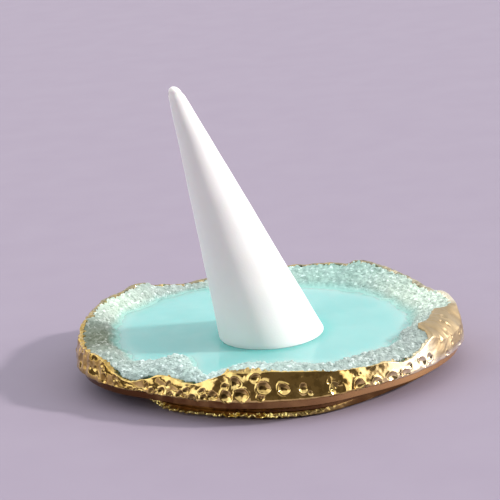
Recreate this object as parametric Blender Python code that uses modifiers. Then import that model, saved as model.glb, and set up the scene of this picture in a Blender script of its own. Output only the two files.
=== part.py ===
"""Ring holder: a geode slice tray of cast resin with a gilt hammered rim, a druzy crust and a leaning ring cone.

Metres, +Z up, the table at z = 0. +X is the tray's right and -Y its front. Angles are degrees anticlockwise
from +X, seen from above: 90 is the back, 180 the left and 270 the front.
"""

import math

import bmesh
import bpy
import numpy as np
from mathutils import Matrix

# Driving dimensions of the whole tray
TRAY_RADIUS = 0.0450
PLATE_HEIGHT = 0.0090
CREASE_HEIGHT = 0.0050
CLEARANCE = 0.0003

# The slice's outline: its widest radius every 15 degrees, as a share of TRAY_RADIUS
OUTLINE_SHARES = (
    1.050, 1.004, 0.991, 1.012, 1.033, 1.000, 0.978, 0.967, 0.989, 1.056, 1.078, 1.054,
    1.047, 1.032, 0.978, 0.911, 0.896, 0.909, 0.927, 0.956, 0.962, 1.004, 1.042, 1.071,
)

# The hammered gilt rim
RIM_RISE = 0.0030
RIM_WIDEST_HEIGHT = 0.0073
RIM_LEAN = 0.0025
CREASE_TUCK = 0.0013
LIP_WIDTH = 0.0009
LIP_ROUND = 0.0003
LIP_NOTCH = 0.0005
WRAP_RISE = 0.0010
LIP_CREST_SHARE = 0.25
FOLD_MIDDLE_SHARE = 0.60
# The least length of an edge where a step in a section runs out to nothing
LEAST_STEP = 0.00005

# Height of the rim's lip over the plate every 7.5 degrees, as a share of RIM_RISE
LIP_SHARES = (
    1.10, 1.20, 0.85, 0.92, 1.17, 1.33, 1.42, 1.60, 1.00, 1.05, 0.93, 0.87,
    0.83, 0.80, 0.73, 0.63, 0.58, 0.88, 1.48, 1.20, 1.25, 1.10, 1.10, 1.13,
    0.80, 0.67, 0.73, 0.67, -0.03, -0.80, -0.47, -0.07, -0.40, -0.13, 0.73, 0.90,
    0.93, 0.80, 0.63, 0.30, 0.10, 0.07, -0.23, 0.47, 0.93, 1.07, 1.10, 1.10,
)
# Where up the band its rows of points run, from the crease to the lip
BAND_ROW_SHARES = (0.0, 0.12, 0.28, 0.44, 0.60, 0.76, 0.90)
# Waves that notch the lip: how many go round, and where each starts in degrees
LIP_NOTCHES = ((23, 40.0), (31, 140.0), (47, 265.0))

# The gilding runs in over the crust in a tongue at the front and a broad patch at the right
FOLD_CENTRE_ANGLES = (261.0, 339.0)
FOLD_HALF_ANGLES = (10.0, 16.0)
FOLD_WIDTHS = (0.0031, 0.0050)
FOLD_DROPS = (-0.0004, 0.0009)
FOLD_BULGE = 0.0005

# Hammer marks on the side that shows
# Each is an angle, a share of the band's height, a share of DIMPLE_RADIUS and one of DIMPLE_DEPTH
DIMPLE_RADIUS = 0.0017
DIMPLE_DEPTH = 0.0010
DIMPLE_COLLAR = 0.0003
COLLAR_PLACE_SHARE = 1.15
COLLAR_WIDTH_SHARE = 0.35
DIMPLE_SHARES = (
    (190.0, 0.42, 1.2, 0.8), (197.0, 0.74, 1.2, 1.0), (204.0, 0.72, 1.0, 1.0), (208.5, 0.60, 1.3, 1.2),
    (213.5, 0.62, 0.9, 0.8), (219.0, 0.55, 0.6, 0.5), (226.5, 0.54, 0.8, 0.8), (231.5, 0.60, 1.0, 1.2),
    (238.5, 0.72, 0.9, 0.9), (243.0, 0.36, 0.8, 0.9), (248.0, 0.55, 0.9, 0.8), (251.5, 0.72, 0.8, 0.9),
    (255.0, 0.46, 1.1, 1.0), (258.5, 0.90, 1.0, 1.0), (260.5, 0.50, 1.1, 1.1), (264.0, 0.92, 1.0, 1.0),
    (267.0, 0.56, 1.1, 1.0), (273.5, 0.64, 1.0, 0.9), (279.5, 0.60, 0.9, 0.9), (283.5, 0.62, 0.8, 0.7),
    (290.5, 0.49, 1.0, 0.7), (296.0, 0.52, 1.1, 1.2), (303.0, 0.54, 1.1, 0.9), (308.0, 0.58, 1.2, 1.1),
    (312.5, 0.56, 1.1, 0.9), (319.5, 0.70, 1.0, 1.0), (323.5, 0.60, 0.9, 0.9), (332.0, 0.30, 1.0, 0.7),
    (338.0, 0.62, 1.2, 0.6), (346.0, 0.34, 1.1, 0.7), (353.0, 0.66, 1.1, 0.8),
)
# Hammer marks round the back, which repeat in three rows
BACK_DIMPLE_COUNT = 30
BACK_DIMPLE_ANGLES = (0.0, 184.0)
BACK_DIMPLE_SHARES = ((0.34, 1.1, 0.8), (0.70, 1.0, 1.0), (0.50, 1.3, 0.9))

# The smooth gilt skirt under the rim, which draws in to the foot
SKIN = 0.0009
SKIRT_SETBACK = 0.0002
SKIRT_DROP = 0.0014
FOOT_LIFT = 0.0004
FOOT_HEIGHT = 0.0013
FOOT_BULGE = 0.0004
# The foot's radius every 15 degrees, as a share of the outline's
FOOT_SHARES = (
    0.935, 0.90, 0.86, 0.83, 0.81, 0.80, 0.80, 0.80, 0.80, 0.77, 0.72, 0.66,
    0.63, 0.66, 0.78, 0.875, 0.897, 0.895, 0.919, 0.922, 0.926, 0.905, 0.925, 0.940,
)
COVE_ROW_SHARES = (0.0, 0.22, 0.45, 0.70, 1.0)

# The druzy crust: its inner edge on the plate every 10 degrees, as a share of TRAY_RADIUS
CRUST_EDGE_SHARES = (
    0.760, 0.749, 0.736, 0.727, 0.711, 0.687, 0.687, 0.689, 0.722, 0.767, 0.811, 0.840,
    0.871, 0.873, 0.858, 0.893, 0.853, 0.822, 0.800, 0.793, 0.764, 0.722, 0.551, 0.602,
    0.702, 0.622, 0.544, 0.573, 0.582, 0.673, 0.729, 0.727, 0.769, 0.756, 0.771, 0.773,
)
# How far the crust bulges over a straight slope, every 15 degrees, as a share of CRUST_CROWN
CRUST_CROWN = 0.0030
CROWN_SHARES = (
    0.17, 0.17, 0.10, 0.10, 0.10, 0.10, 0.10, 0.10, 0.13, 0.13, 0.13, 0.20,
    0.27, 0.33, 0.75, 1.10, 0.95, 0.33, 0.20, 0.20, 0.40, 0.40, 0.27, 0.20,
)
CRUST_EDGE_HEIGHT = 0.0005
CRUST_OVERHANG = 0.0018
CRUST_FADE = 0.0010
CRYSTAL_HEIGHT = 0.0009
CRYSTAL_PEAK_SHARE = 0.50
CRYSTAL_VALLEY_SHARE = -0.45
CRYSTAL_SCATTER_SHARE = 0.45
CRYSTAL_EDGE_SHARE = 0.35
CRYSTAL_LEAN_SHARE = 0.30
CRYSTAL_SEED = 12
CRUST_ROW_SHARES = (0.0, 0.18, 0.38, 0.58, 0.79, 1.0)
# Each cluster of the crust runs from its first angle to its second
CLUSTERS = {
    "druzy_right": (350.0, 380.0),
    "druzy_back_right": (20.0, 70.0),
    "druzy_back": (70.0, 112.0),
    "druzy_back_left": (112.0, 166.0),
    "druzy_left": (166.0, 190.0),
    "druzy_left_front": (190.0, 210.0),
    "druzy_front_mound": (210.0, 248.0),
    "druzy_front": (248.0, 292.0),
    "druzy_front_right": (292.0, 322.0),
    "druzy_right_front": (322.0, 350.0),
}

# The ring cone, which leans to the left, and the pad that bonds it
CONE_HEIGHT = 0.0622
CONE_BASE_RADIUS = 0.0127
CONE_TIP_RADIUS = 0.0015
CONE_LEAN = 0.0182
CONE_CENTRE = (0.0011, -0.0043)
CONE_BASE_ROUND = 0.0006
CONE_LEVEL_SHARES = (0.25, 0.50, 0.75)
RECESS_DEPTH = 0.0010
RECESS_WALL = 0.0032

# Four clear bumpers under the slab
BUMPER_RADIUS = 0.0040
BUMPER_HEIGHT = 0.0010
BUMPER_ROUND = 0.0003
BUMPER_CIRCLE_RADIUS = 0.0200
BUMPER_ANGLES = (45.0, 135.0, 225.0, 315.0)

# How finely round things are divided
RIM_DIVISIONS = 180
SLAB_DIVISIONS = 90
CONE_DIVISIONS = 48
PAD_DIVISIONS = 32
BUMPER_DIVISIONS = 20
ROUND_DIVISIONS = 4
WELD_DISTANCE = 0.000001

# Colour, roughness and metallic value of each material
FINISHES = {
    "aqua_resin": ((0.43, 0.82, 0.80), 0.12, 0.0),
    "gilt": ((0.90, 0.62, 0.20), 0.22, 1.0),
    "druzy": ((0.72, 0.88, 0.84), 0.20, 0.0),
    "white_ceramic": ((0.93, 0.93, 0.92), 0.55, 0.0),
    "clear_adhesive": ((0.85, 0.88, 0.86), 0.30, 0.0),
    "clear_rubber": ((0.80, 0.82, 0.82), 0.35, 0.0),
}


def clear_scene():
    """Removes what the startup scene holds."""
    for item in list(bpy.data.objects):
        bpy.data.objects.remove(item, do_unlink=True)


def wave(shares, angle):
    """Smooth closed curve through evenly spaced shares, read at each angle by Catmull-Rom."""
    place = np.mod(angle, 360.0) * len(shares) / 360.0
    whole = np.floor(place).astype(int)
    part = place - whole
    values = np.asarray(shares)
    before, first, second, after = (values[(whole + step) % len(shares)] for step in (-1, 0, 1, 2))
    bend = 2 * before - 5 * first + 4 * second - after + part * (3 * (first - second) + after - before)
    return first + 0.5 * part * (second - before + part * bend)


def ramp(value):
    """0 below 0, 1 above 1, and a smooth S between."""
    held = np.clip(value, 0.0, 1.0)
    return held * held * (3 - 2 * held)


def turn_between(angle, centre):
    """Signed angle from centre to angle, between -180 and 180."""
    return np.mod(angle - centre + 180.0, 360.0) - 180.0


def at_angle(angle, radius, height):
    """Points at an angle, a radius and a height, as an array whose last axis is x, y, z."""
    angle, radius, height = np.broadcast_arrays(np.radians(angle), radius, height)
    return np.stack([radius * np.cos(angle), radius * np.sin(angle), height], axis=-1)


def outline(angle):
    """Widest radius of the slice."""
    return TRAY_RADIUS * wave(OUTLINE_SHARES, angle)


def slab_radius(angle):
    """Radius of the slab's upright side, which the rim stands round."""
    return outline(angle) - CREASE_TUCK - SKIRT_SETBACK - SKIN - CLEARANCE


def lip_height(angle):
    """Height of the gilt lip, before its small notches."""
    return PLATE_HEIGHT + RIM_RISE * wave(LIP_SHARES, angle)


def band_radius(angle, height):
    """Outer radius of the rim: tucked in at the crease, widest low down, leaning in above."""
    above = np.maximum(height - RIM_WIDEST_HEIGHT, 0.0) / (PLATE_HEIGHT + RIM_RISE - RIM_WIDEST_HEIGHT)
    below = np.maximum(RIM_WIDEST_HEIGHT - height, 0.0) / (RIM_WIDEST_HEIGHT - CREASE_HEIGHT)
    return outline(angle) - RIM_LEAN * above**2 - CREASE_TUCK * below**2


def over_folds(angle, plain, amounts):
    """A plain value all round, with each fold's own amount added where that fold is."""
    total = np.full(np.shape(angle), plain)
    for centre, half, amount in zip(FOLD_CENTRE_ANGLES, FOLD_HALF_ANGLES, amounts):
        total = total + amount * ramp(2.0 - 2.0 * np.abs(turn_between(angle, centre)) / half)
    return total


def fold_width(angle):
    """How far the lip folds in over the crust: narrow, but wide at the tongue and the patch."""
    return over_folds(angle, LIP_WIDTH, FOLD_WIDTHS)


def fold_drop(angle):
    """How far below the lip's crest the fold's inner edge lies."""
    return over_folds(angle, LIP_ROUND, FOLD_DROPS)


def rim_wall_radius(angle):
    """Inner radius of the rim over the plate. Where the fold would be lower than the plate, it stops at the slab."""
    beside_slab = slab_radius(angle) + CLEARANCE
    over_slab = band_radius(angle, lip_height(angle)) - fold_width(angle)
    lowest = lip_height(angle) - LIP_NOTCH - fold_drop(angle)
    wrap = ramp((lowest - PLATE_HEIGHT - CLEARANCE) / WRAP_RISE)
    return np.minimum(beside_slab + wrap * (over_slab - beside_slab), beside_slab - LEAST_STEP)


def dimples():
    """Every hammer mark: those that show, then the regular rows at the back."""
    marks = list(DIMPLE_SHARES)
    start, end = BACK_DIMPLE_ANGLES
    for index in range(BACK_DIMPLE_COUNT):
        row = BACK_DIMPLE_SHARES[index % len(BACK_DIMPLE_SHARES)]
        marks.append((start + (end - start) * (index + 0.5) / BACK_DIMPLE_COUNT, *row))
    return marks


def hammering(angle, height):
    """Depth of the hammered face: a bowl in each mark with a raised collar round it."""
    depth = np.zeros(np.broadcast(angle, height).shape)
    for centre, height_share, radius_share, depth_share in dimples():
        middle = CREASE_HEIGHT + height_share * (lip_height(centre) - CREASE_HEIGHT)
        across = np.radians(turn_between(angle, centre)) * outline(centre)
        reach = np.hypot(across, height - middle) / (DIMPLE_RADIUS * radius_share)
        bowl = np.maximum(1.0 - reach**2, 0.0) ** 2
        collar = np.exp(-(((reach - COLLAR_PLACE_SHARE) / COLLAR_WIDTH_SHARE) ** 2))
        depth = depth + depth_share * (DIMPLE_DEPTH * bowl - DIMPLE_COLLAR * collar)
    return depth


def lip_notches(angle):
    """How far the ragged lip drops at each angle."""
    total = np.zeros(np.shape(angle))
    for count, start in LIP_NOTCHES:
        total = total + np.cos(np.radians(count * angle + start))
    return LIP_NOTCH * (0.5 - 0.5 * total / len(LIP_NOTCHES))


def link(name, mesh, finish, parent):
    """Adds a mesh to the part's collection as a named object with its own material."""
    made = bpy.data.objects.new(name, mesh)
    colour, roughness, metallic = FINISHES[finish]
    material = bpy.data.materials.new(f"{name}_{finish}")
    material.use_nodes = True
    shader = material.node_tree.nodes["Principled BSDF"]
    shader.inputs["Base Color"].default_value = (*colour, 1.0)
    shader.inputs["Roughness"].default_value = roughness
    shader.inputs["Metallic"].default_value = metallic
    material.diffuse_color = (*colour, 1.0)
    mesh.materials.append(material)
    made.parent = parent
    bpy.data.collections["ring_holder"].objects.link(made)
    return made


def loft(name, rows, joined, smooth_angle=None):
    """Mesh through rows of points, each row a closed loop.

    The last row is joined to the first, or else both end rows are capped with flat faces.
    """
    count, size, _ = rows.shape
    index = np.arange(count * size).reshape(count, size)
    if joined:
        index = np.vstack([index, index[:1]])
    side = np.roll(index, -1, axis=1)
    quads = np.stack([index[:-1], index[1:], side[1:], side[:-1]], axis=-1).reshape(-1, 4)
    faces = quads.tolist()
    if not joined:
        faces += [index[0].tolist(), index[-1, ::-1].tolist()]
    mesh = bpy.data.meshes.new(name)
    mesh.from_pydata(rows.reshape(-1, 3).tolist(), [], faces)
    shape = bmesh.new()
    shape.from_mesh(mesh)
    bmesh.ops.recalc_face_normals(shape, faces=shape.faces)
    shape.to_mesh(mesh)
    shape.free()
    if smooth_angle is not None:
        mesh.shade_smooth()
        mesh.set_sharp_from_angle(angle=math.radians(smooth_angle))
    return mesh


def turned(name, profile, divisions, smooth_angle):
    """Mesh of a profile, run from its top to its foot as radius and height, turned about Z."""
    outline_mesh = bpy.data.meshes.new(f"{name}_profile")
    points = [(radius, 0.0, height) for radius, height in profile]
    edges = [(index, index + 1) for index in range(len(points) - 1)]
    outline_mesh.from_pydata(points, edges, [])
    lathe = bpy.data.objects.new(f"{name}_profile", outline_mesh)
    bpy.context.scene.collection.objects.link(lathe)
    screw = lathe.modifiers.new("turn", "SCREW")
    screw.steps = divisions
    screw.render_steps = divisions
    screw.use_merge_vertices = True
    screw.merge_threshold = WELD_DISTANCE
    bpy.context.view_layer.update()
    graph = bpy.context.evaluated_depsgraph_get()
    mesh = bpy.data.meshes.new_from_object(lathe.evaluated_get(graph))
    bpy.data.objects.remove(lathe, do_unlink=True)
    bpy.data.meshes.remove(outline_mesh)
    mesh.shade_smooth()
    mesh.set_sharp_from_angle(angle=math.radians(smooth_angle))
    return mesh


def quarter_round(centre_radius, centre_height, size, start):
    """Points of a quarter circle, as radius and height, that turns clockwise from its start angle."""
    turns = [start - 90.0 * step / ROUND_DIVISIONS for step in range(ROUND_DIVISIONS + 1)]
    return [
        (centre_radius + size * math.cos(math.radians(turn)), centre_height + size * math.sin(math.radians(turn)))
        for turn in turns
    ]


def rim_rows():
    """Cross-sections of the hammered rim, one for each angle."""
    angle = np.arange(RIM_DIVISIONS) * 360.0 / RIM_DIVISIONS
    lip = lip_height(angle)
    crest = lip - lip_notches(angle)
    wall = rim_wall_radius(angle)
    slab_side = slab_radius(angle) + CLEARANCE
    points = []
    for share in BAND_ROW_SHARES:
        height = CREASE_HEIGHT + share * (lip - LIP_ROUND - CREASE_HEIGHT)
        depth = hammering(angle, height)
        points.append((band_radius(angle, height) - depth, height))
    outer = band_radius(angle, lip)
    width = outer - wall
    inner_height = crest - fold_drop(angle)
    shelf = np.minimum(PLATE_HEIGHT + CLEARANCE, inner_height - LEAST_STEP)
    bulge = FOLD_BULGE * ramp((width - 2 * LIP_WIDTH) / LIP_WIDTH) - 0.5 * hammering(angle, lip)
    middle = np.minimum(0.5 * (crest + inner_height) + bulge, np.maximum(lip, inner_height))
    points.append((outer - LIP_CREST_SHARE * np.minimum(width, LIP_WIDTH), crest))
    points.append((outer - FOLD_MIDDLE_SHARE * width, middle))
    points.append((wall, inner_height))
    points.append((wall, shelf))
    points.append((slab_side, shelf))
    points.append((slab_side, np.full_like(angle, CREASE_HEIGHT)))
    return np.stack([at_angle(angle, radius, height) for radius, height in points], axis=1)


def cove_point(angle, share):
    """Radius and height on the skirt's outer curve, from under the rim (0) to the foot (1)."""
    top_radius = outline(angle) - CREASE_TUCK - SKIRT_SETBACK
    foot_radius = outline(angle) * wave(FOOT_SHARES, angle)
    top = CREASE_HEIGHT - CLEARANCE - SKIRT_DROP
    foot = FOOT_LIFT + FOOT_HEIGHT
    quarter = 0.5 * math.pi * share
    radius = foot_radius + (top_radius - foot_radius) * (1 - math.sin(quarter))
    return radius, np.full_like(radius, foot + (top - foot) * math.cos(quarter))


def skirt_rows():
    """Cross-sections of the smooth skirt and its foot, one for each angle."""
    angle = np.arange(SLAB_DIVISIONS) * 360.0 / SLAB_DIVISIONS
    top = np.full_like(angle, CREASE_HEIGHT - CLEARANCE)
    bottom = np.full_like(angle, FOOT_LIFT)
    outer = [cove_point(angle, share) for share in COVE_ROW_SHARES]
    top_radius = outer[0][0]
    foot_radius, foot_top = outer[-1]
    points = [(top_radius, top), *outer]
    points.append((foot_radius + FOOT_BULGE, foot_top - FOOT_BULGE))
    points.append((foot_radius + FOOT_BULGE, bottom + FOOT_BULGE))
    points.append((foot_radius, bottom))
    points.append((foot_radius - SKIN, bottom))
    for radius, height in reversed(outer):
        points.append((radius - SKIN, np.minimum(height + SKIN, top - LEAST_STEP)))
    points.append((top_radius - SKIN, top))
    return np.stack([at_angle(angle, radius, height) for radius, height in points], axis=1)


def slab_rows():
    """Rings of the resin slab, from the plate's edge down its side and along the skirt to the underside."""
    angle = np.arange(SLAB_DIVISIONS) * 360.0 / SLAB_DIVISIONS
    side = slab_radius(angle)
    inset = SKIN + CLEARANCE
    points = [(side, PLATE_HEIGHT), (side, CREASE_HEIGHT)]
    for share in COVE_ROW_SHARES[1:]:
        radius, height = cove_point(angle, share)
        points.append((radius - inset, np.minimum(height + inset, CREASE_HEIGHT - LEAST_STEP)))
    points.append((points[-1][0], BUMPER_HEIGHT + CLEARANCE))
    return np.stack([at_angle(angle, radius, height) for radius, height in points])


def crust_rows(start, end, random):
    """Cross-sections of one druzy cluster, with crystal points pulled up and down between flat facets."""
    step = 360.0 / RIM_DIVISIONS
    gap = 0.5 * math.degrees(CLEARANCE / TRAY_RADIUS)
    angle = np.arange(start, end + 0.5 * step, step)
    angle[0] += gap
    angle[-1] -= gap
    floor = PLATE_HEIGHT + CLEARANCE
    lip = lip_height(angle)
    hang = ramp((PLATE_HEIGHT - lip) / CRUST_FADE)
    slab_side = slab_radius(angle) + CLEARANCE
    outer = rim_wall_radius(angle) - CLEARANCE
    outer = outer + hang * (slab_side + CRUST_OVERHANG - outer)
    foot = floor - np.maximum(hang * (floor - lip - CLEARANCE), LEAST_STEP)
    corner = np.minimum(slab_side, outer - LEAST_STEP)
    edge = TRAY_RADIUS * wave(CRUST_EDGE_SHARES, angle)
    edge = np.minimum(edge, outer - CRUST_EDGE_HEIGHT)
    shoulder = np.maximum(lip - CLEARANCE, foot + CRUST_EDGE_HEIGHT)
    crown = CRUST_CROWN * wave(CROWN_SHARES, angle)
    last_row = len(CRUST_ROW_SHARES) - 1
    points = [(angle, outer, foot)]
    for row, share in enumerate(CRUST_ROW_SHARES):
        slope = shoulder + (floor + CRUST_EDGE_HEIGHT - shoulder) * share
        hump = crown * 4 * share * (1 - share)
        peaks = (np.arange(len(angle)) + row) % 2 == 1
        pull = np.where(peaks, CRYSTAL_PEAK_SHARE, CRYSTAL_VALLEY_SHARE)
        rough = CRYSTAL_HEIGHT * (pull + CRYSTAL_SCATTER_SHARE * random.random(len(angle)))
        lean = CRYSTAL_LEAN_SHARE * step * (2 * random.random(len(angle)) - 1)
        lean[[0, -1]] = 0.0
        if row in (0, last_row):
            rough = CRYSTAL_EDGE_SHARE * rough
            lean = 0.0 * lean
        height = np.maximum(slope + hump + rough, floor + CLEARANCE)
        points.append((angle + lean, outer + (edge - outer) * share, height))
    points.append((angle, edge, floor))
    points.append((angle, corner, floor))
    points.append((angle, corner, foot))
    return np.stack([at_angle(turn, radius, height) for turn, radius, height in points], axis=1)


def make_cone(parent):
    """The ring cone: a turned profile with a recess under it, sheared so that it leans over its round base."""
    base = PLATE_HEIGHT + CLEARANCE
    top = base + CONE_HEIGHT
    slope = (CONE_BASE_RADIUS - CONE_TIP_RADIUS) / CONE_HEIGHT
    profile = [(0.0, top)]
    profile += quarter_round(0.0, top - CONE_TIP_RADIUS, CONE_TIP_RADIUS, 90.0)[1:]
    for share in CONE_LEVEL_SHARES:
        profile.append((CONE_TIP_RADIUS + slope * CONE_HEIGHT * share, top - CONE_HEIGHT * share))
    profile += quarter_round(
        CONE_BASE_RADIUS - CONE_BASE_ROUND, base + CONE_BASE_ROUND, CONE_BASE_ROUND, 0.0
    )
    recess_radius = CONE_BASE_RADIUS - RECESS_WALL
    profile += [(recess_radius, base), (recess_radius, base + RECESS_DEPTH), (0.0, base + RECESS_DEPTH)]
    mesh = turned("ring_cone", profile, CONE_DIVISIONS, 50.0)
    lean = CONE_LEAN / CONE_HEIGHT
    shear = Matrix(((1, 0, -lean, lean * base), (0, 1, 0, 0), (0, 0, 1, 0), (0, 0, 0, 1)))
    mesh.transform(shear)
    cone = link("ring_cone", mesh, "white_ceramic", parent)
    cone.location = (*CONE_CENTRE, 0.0)


def make_bond(parent):
    """The adhesive pad in the cone's recess."""
    bottom = PLATE_HEIGHT + CLEARANCE
    top = bottom + RECESS_DEPTH - CLEARANCE
    radius = CONE_BASE_RADIUS - RECESS_WALL - 2 * CLEARANCE
    profile = [(0.0, top), (radius, top), (radius, bottom), (0.0, bottom)]
    mesh = turned("cone_bond", profile, PAD_DIVISIONS, 30.0)
    bond = link("cone_bond", mesh, "clear_adhesive", parent)
    bond.location = (*CONE_CENTRE, 0.0)


def make_bumpers(parent):
    """Four round bumpers, flat where they meet the slab and the table."""
    rim = BUMPER_RADIUS - BUMPER_ROUND
    profile = [(0.0, BUMPER_HEIGHT), (BUMPER_RADIUS, BUMPER_HEIGHT)]
    profile += quarter_round(rim, BUMPER_ROUND, BUMPER_ROUND, 0.0)
    profile.append((0.0, 0.0))
    for number, angle in enumerate(BUMPER_ANGLES, start=1):
        mesh = turned(f"bumper_{number}", profile, BUMPER_DIVISIONS, 30.0)
        bumper = link(f"bumper_{number}", mesh, "clear_rubber", parent)
        bumper.location = at_angle(angle, BUMPER_CIRCLE_RADIUS, 0.0).tolist()


def make_crust(parent):
    """The druzy clusters, each its own crust along a stretch of the plate's edge."""
    random = np.random.default_rng(CRYSTAL_SEED)
    for name, (start, end) in CLUSTERS.items():
        mesh = loft(name, crust_rows(start, end, random), joined=False)
        link(name, mesh, "druzy", parent)


def main():
    clear_scene()
    collection = bpy.data.collections.new("ring_holder")
    bpy.context.scene.collection.children.link(collection)
    rim = rim_rows()
    middle = 0.5 * (rim[..., :2].max(axis=(0, 1)) + rim[..., :2].min(axis=(0, 1)))
    centre = bpy.data.objects.new("slice_centre", None)
    centre.location = (-middle[0], -middle[1], 0.0)
    collection.objects.link(centre)
    link("resin_slab", loft("resin_slab", slab_rows(), joined=False, smooth_angle=40.0), "aqua_resin", centre)
    link("gilt_rim", loft("gilt_rim", rim, joined=True, smooth_angle=60.0), "gilt", centre)
    link("gilt_skirt", loft("gilt_skirt", skirt_rows(), joined=True, smooth_angle=40.0), "gilt", centre)
    make_crust(centre)
    make_cone(centre)
    make_bond(centre)
    make_bumpers(centre)
    bpy.context.view_layer.update()


main()
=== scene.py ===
# %% [markdown]
# # Ring holder: dressing a geode slice dish
#
# The construction is settled before this script starts: a slab of aqua resin, a hammered gilt rim with a
# smooth skirt under it, a druzy crust in ten clusters, a leaning white cone, its bond and four bumpers.
# Those solids are loaded as a fixed frame. What follows makes the skins that show over them, with the fine
# shape and the finish that solids made for handling and collision leave out.
#
# Lengths are millimetres until a mesh is made, which is in metres. Angles are degrees anticlockwise from
# +X, seen from above: 0 is the right, 90 the back, 180 the left and 270 the front.

# %% Load the frame
import math

import bmesh
import bpy
import numpy as np
from mathutils import Matrix, Vector


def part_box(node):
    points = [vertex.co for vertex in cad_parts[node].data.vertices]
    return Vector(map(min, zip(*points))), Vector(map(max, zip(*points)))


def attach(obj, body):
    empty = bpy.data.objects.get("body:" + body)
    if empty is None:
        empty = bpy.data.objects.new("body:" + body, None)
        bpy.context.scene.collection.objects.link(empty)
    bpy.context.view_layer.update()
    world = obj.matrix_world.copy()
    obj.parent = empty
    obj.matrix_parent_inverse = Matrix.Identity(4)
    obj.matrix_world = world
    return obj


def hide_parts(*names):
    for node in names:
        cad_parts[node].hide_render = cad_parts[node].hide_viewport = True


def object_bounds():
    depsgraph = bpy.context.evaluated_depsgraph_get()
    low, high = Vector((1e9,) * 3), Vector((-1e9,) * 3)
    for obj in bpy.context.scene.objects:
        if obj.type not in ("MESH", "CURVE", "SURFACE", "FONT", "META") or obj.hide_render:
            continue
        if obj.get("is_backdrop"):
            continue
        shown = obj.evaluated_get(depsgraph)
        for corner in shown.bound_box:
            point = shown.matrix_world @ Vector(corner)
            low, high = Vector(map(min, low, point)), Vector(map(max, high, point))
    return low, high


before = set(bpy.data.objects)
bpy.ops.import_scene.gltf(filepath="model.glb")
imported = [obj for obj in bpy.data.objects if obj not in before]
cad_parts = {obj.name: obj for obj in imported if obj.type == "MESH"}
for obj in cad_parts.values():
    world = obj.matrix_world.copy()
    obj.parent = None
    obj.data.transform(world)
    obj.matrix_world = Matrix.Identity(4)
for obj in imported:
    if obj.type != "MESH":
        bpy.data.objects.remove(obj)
cad_low, cad_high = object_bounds()
MM = 0.001
box_low = np.array(cad_low) / MM
box_high = np.array(cad_high) / MM
print("CAD box in mm:", box_low.round(2), "to", box_high.round(2))

# %% [markdown]
# ## The slice's plan
#
# A geode slice has no true circle in it: its edge wanders in and out, and so does everything that follows
# the edge. A plan like that can be traced as a long list of points, drawn as a Bezier curve, or written as
# a radius that changes with the angle. The last is used here, because rim, skirt, slab and crust can then
# all read the same few numbers and still fit each other. Each table holds evenly spaced shares of one size,
# and a smooth closed curve runs through them.

# %% Radius as a smooth function of the angle
TRAY_RADIUS = 45.0
OUTLINE_SHARES = (
    1.050, 1.004, 0.991, 1.012, 1.033, 1.000, 0.978, 0.967, 0.989, 1.056, 1.078, 1.054,
    1.047, 1.032, 0.978, 0.911, 0.896, 0.909, 0.927, 0.956, 0.962, 1.004, 1.042, 1.071,
)


def wave(shares, angle):
    """Smooth closed curve through evenly spaced shares.

    Between two shares the Catmull-Rom cubic is used: it passes through both, and its slope at each is half
    the difference of the shares on either side.
    """
    place = np.mod(angle, 360.0) * len(shares) / 360.0
    whole = np.floor(place).astype(int)
    part = place - whole
    values = np.asarray(shares)
    before, first, second, after = (values[(whole + step) % len(shares)] for step in (-1, 0, 1, 2))
    bend = 2 * before - 5 * first + 4 * second - after + part * (3 * (first - second) + after - before)
    return first + 0.5 * part * (second - before + part * bend)


def ramp(value):
    """0 below 0, 1 above 1, and between them three times the square less twice the cube."""
    held = np.clip(value, 0.0, 1.0)
    return held * held * (3 - 2 * held)


def bell(value, width):
    """Bell curve, 1 where the value is 0: e to the power of minus the square of the value in widths."""
    return np.exp(-((value / width) ** 2))


def rising(least, share):
    """From least to 1 as share goes from 0 to 1, in a straight line."""
    return least + (1 - least) * share


def turn_between(angle, centre):
    """Signed angle from centre to angle, between -180 and 180."""
    return np.mod(angle - centre + 180.0, 360.0) - 180.0


def outline(angle):
    """Widest radius of the slice: the tray's radius times the smooth share at that angle."""
    return TRAY_RADIUS * wave(OUTLINE_SHARES, angle)


def all_round(count):
    """Angles of a full turn in even steps, as a column."""
    return np.arange(count)[:, None] * 360.0 / count


every_degree = all_round(360)
radii = outline(every_degree)
print("slice radius in mm:", radii.min().round(2), "to", radii.max().round(2))

# %% Where the slice's centre lies in the frame
CONE_CENTRE = (1.1, -4.3)

bond_low, bond_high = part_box("cone_bond")
slice_centre = 0.5 * (np.array(bond_low) + np.array(bond_high))[:2] / MM - np.array(CONE_CENTRE)
print("slice centre in mm:", slice_centre.round(3))


def at_angle(angle, radius, height):
    """Points at an angle and a radius from the slice's centre and at a height; the last axis is x, y, z."""
    angle, radius, height = np.broadcast_arrays(np.radians(angle), radius, height)
    x = slice_centre[0] + radius * np.cos(angle)
    y = slice_centre[1] + radius * np.sin(angle)
    return np.stack([x, y, height], axis=-1)


# %% [markdown]
# ## The edge's own sizes
#
# The gilt edge is 4 mm tall from the crease to the plate, and its lip rises and dips over the plate all the
# way round. At the front it folds in over the crust in a tongue and at the right in a broad patch. These
# sizes are the construction's own, so that each skin stays where its solid is.

# %% Heights, lip and folds
PLATE_HEIGHT = 9.0
CREASE_HEIGHT = 5.0
CLEARANCE = 0.3
SKIN = 0.9
SKIRT_SETBACK = 0.2
RIM_RISE = 3.0
RIM_WIDEST_HEIGHT = 5.6
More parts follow.
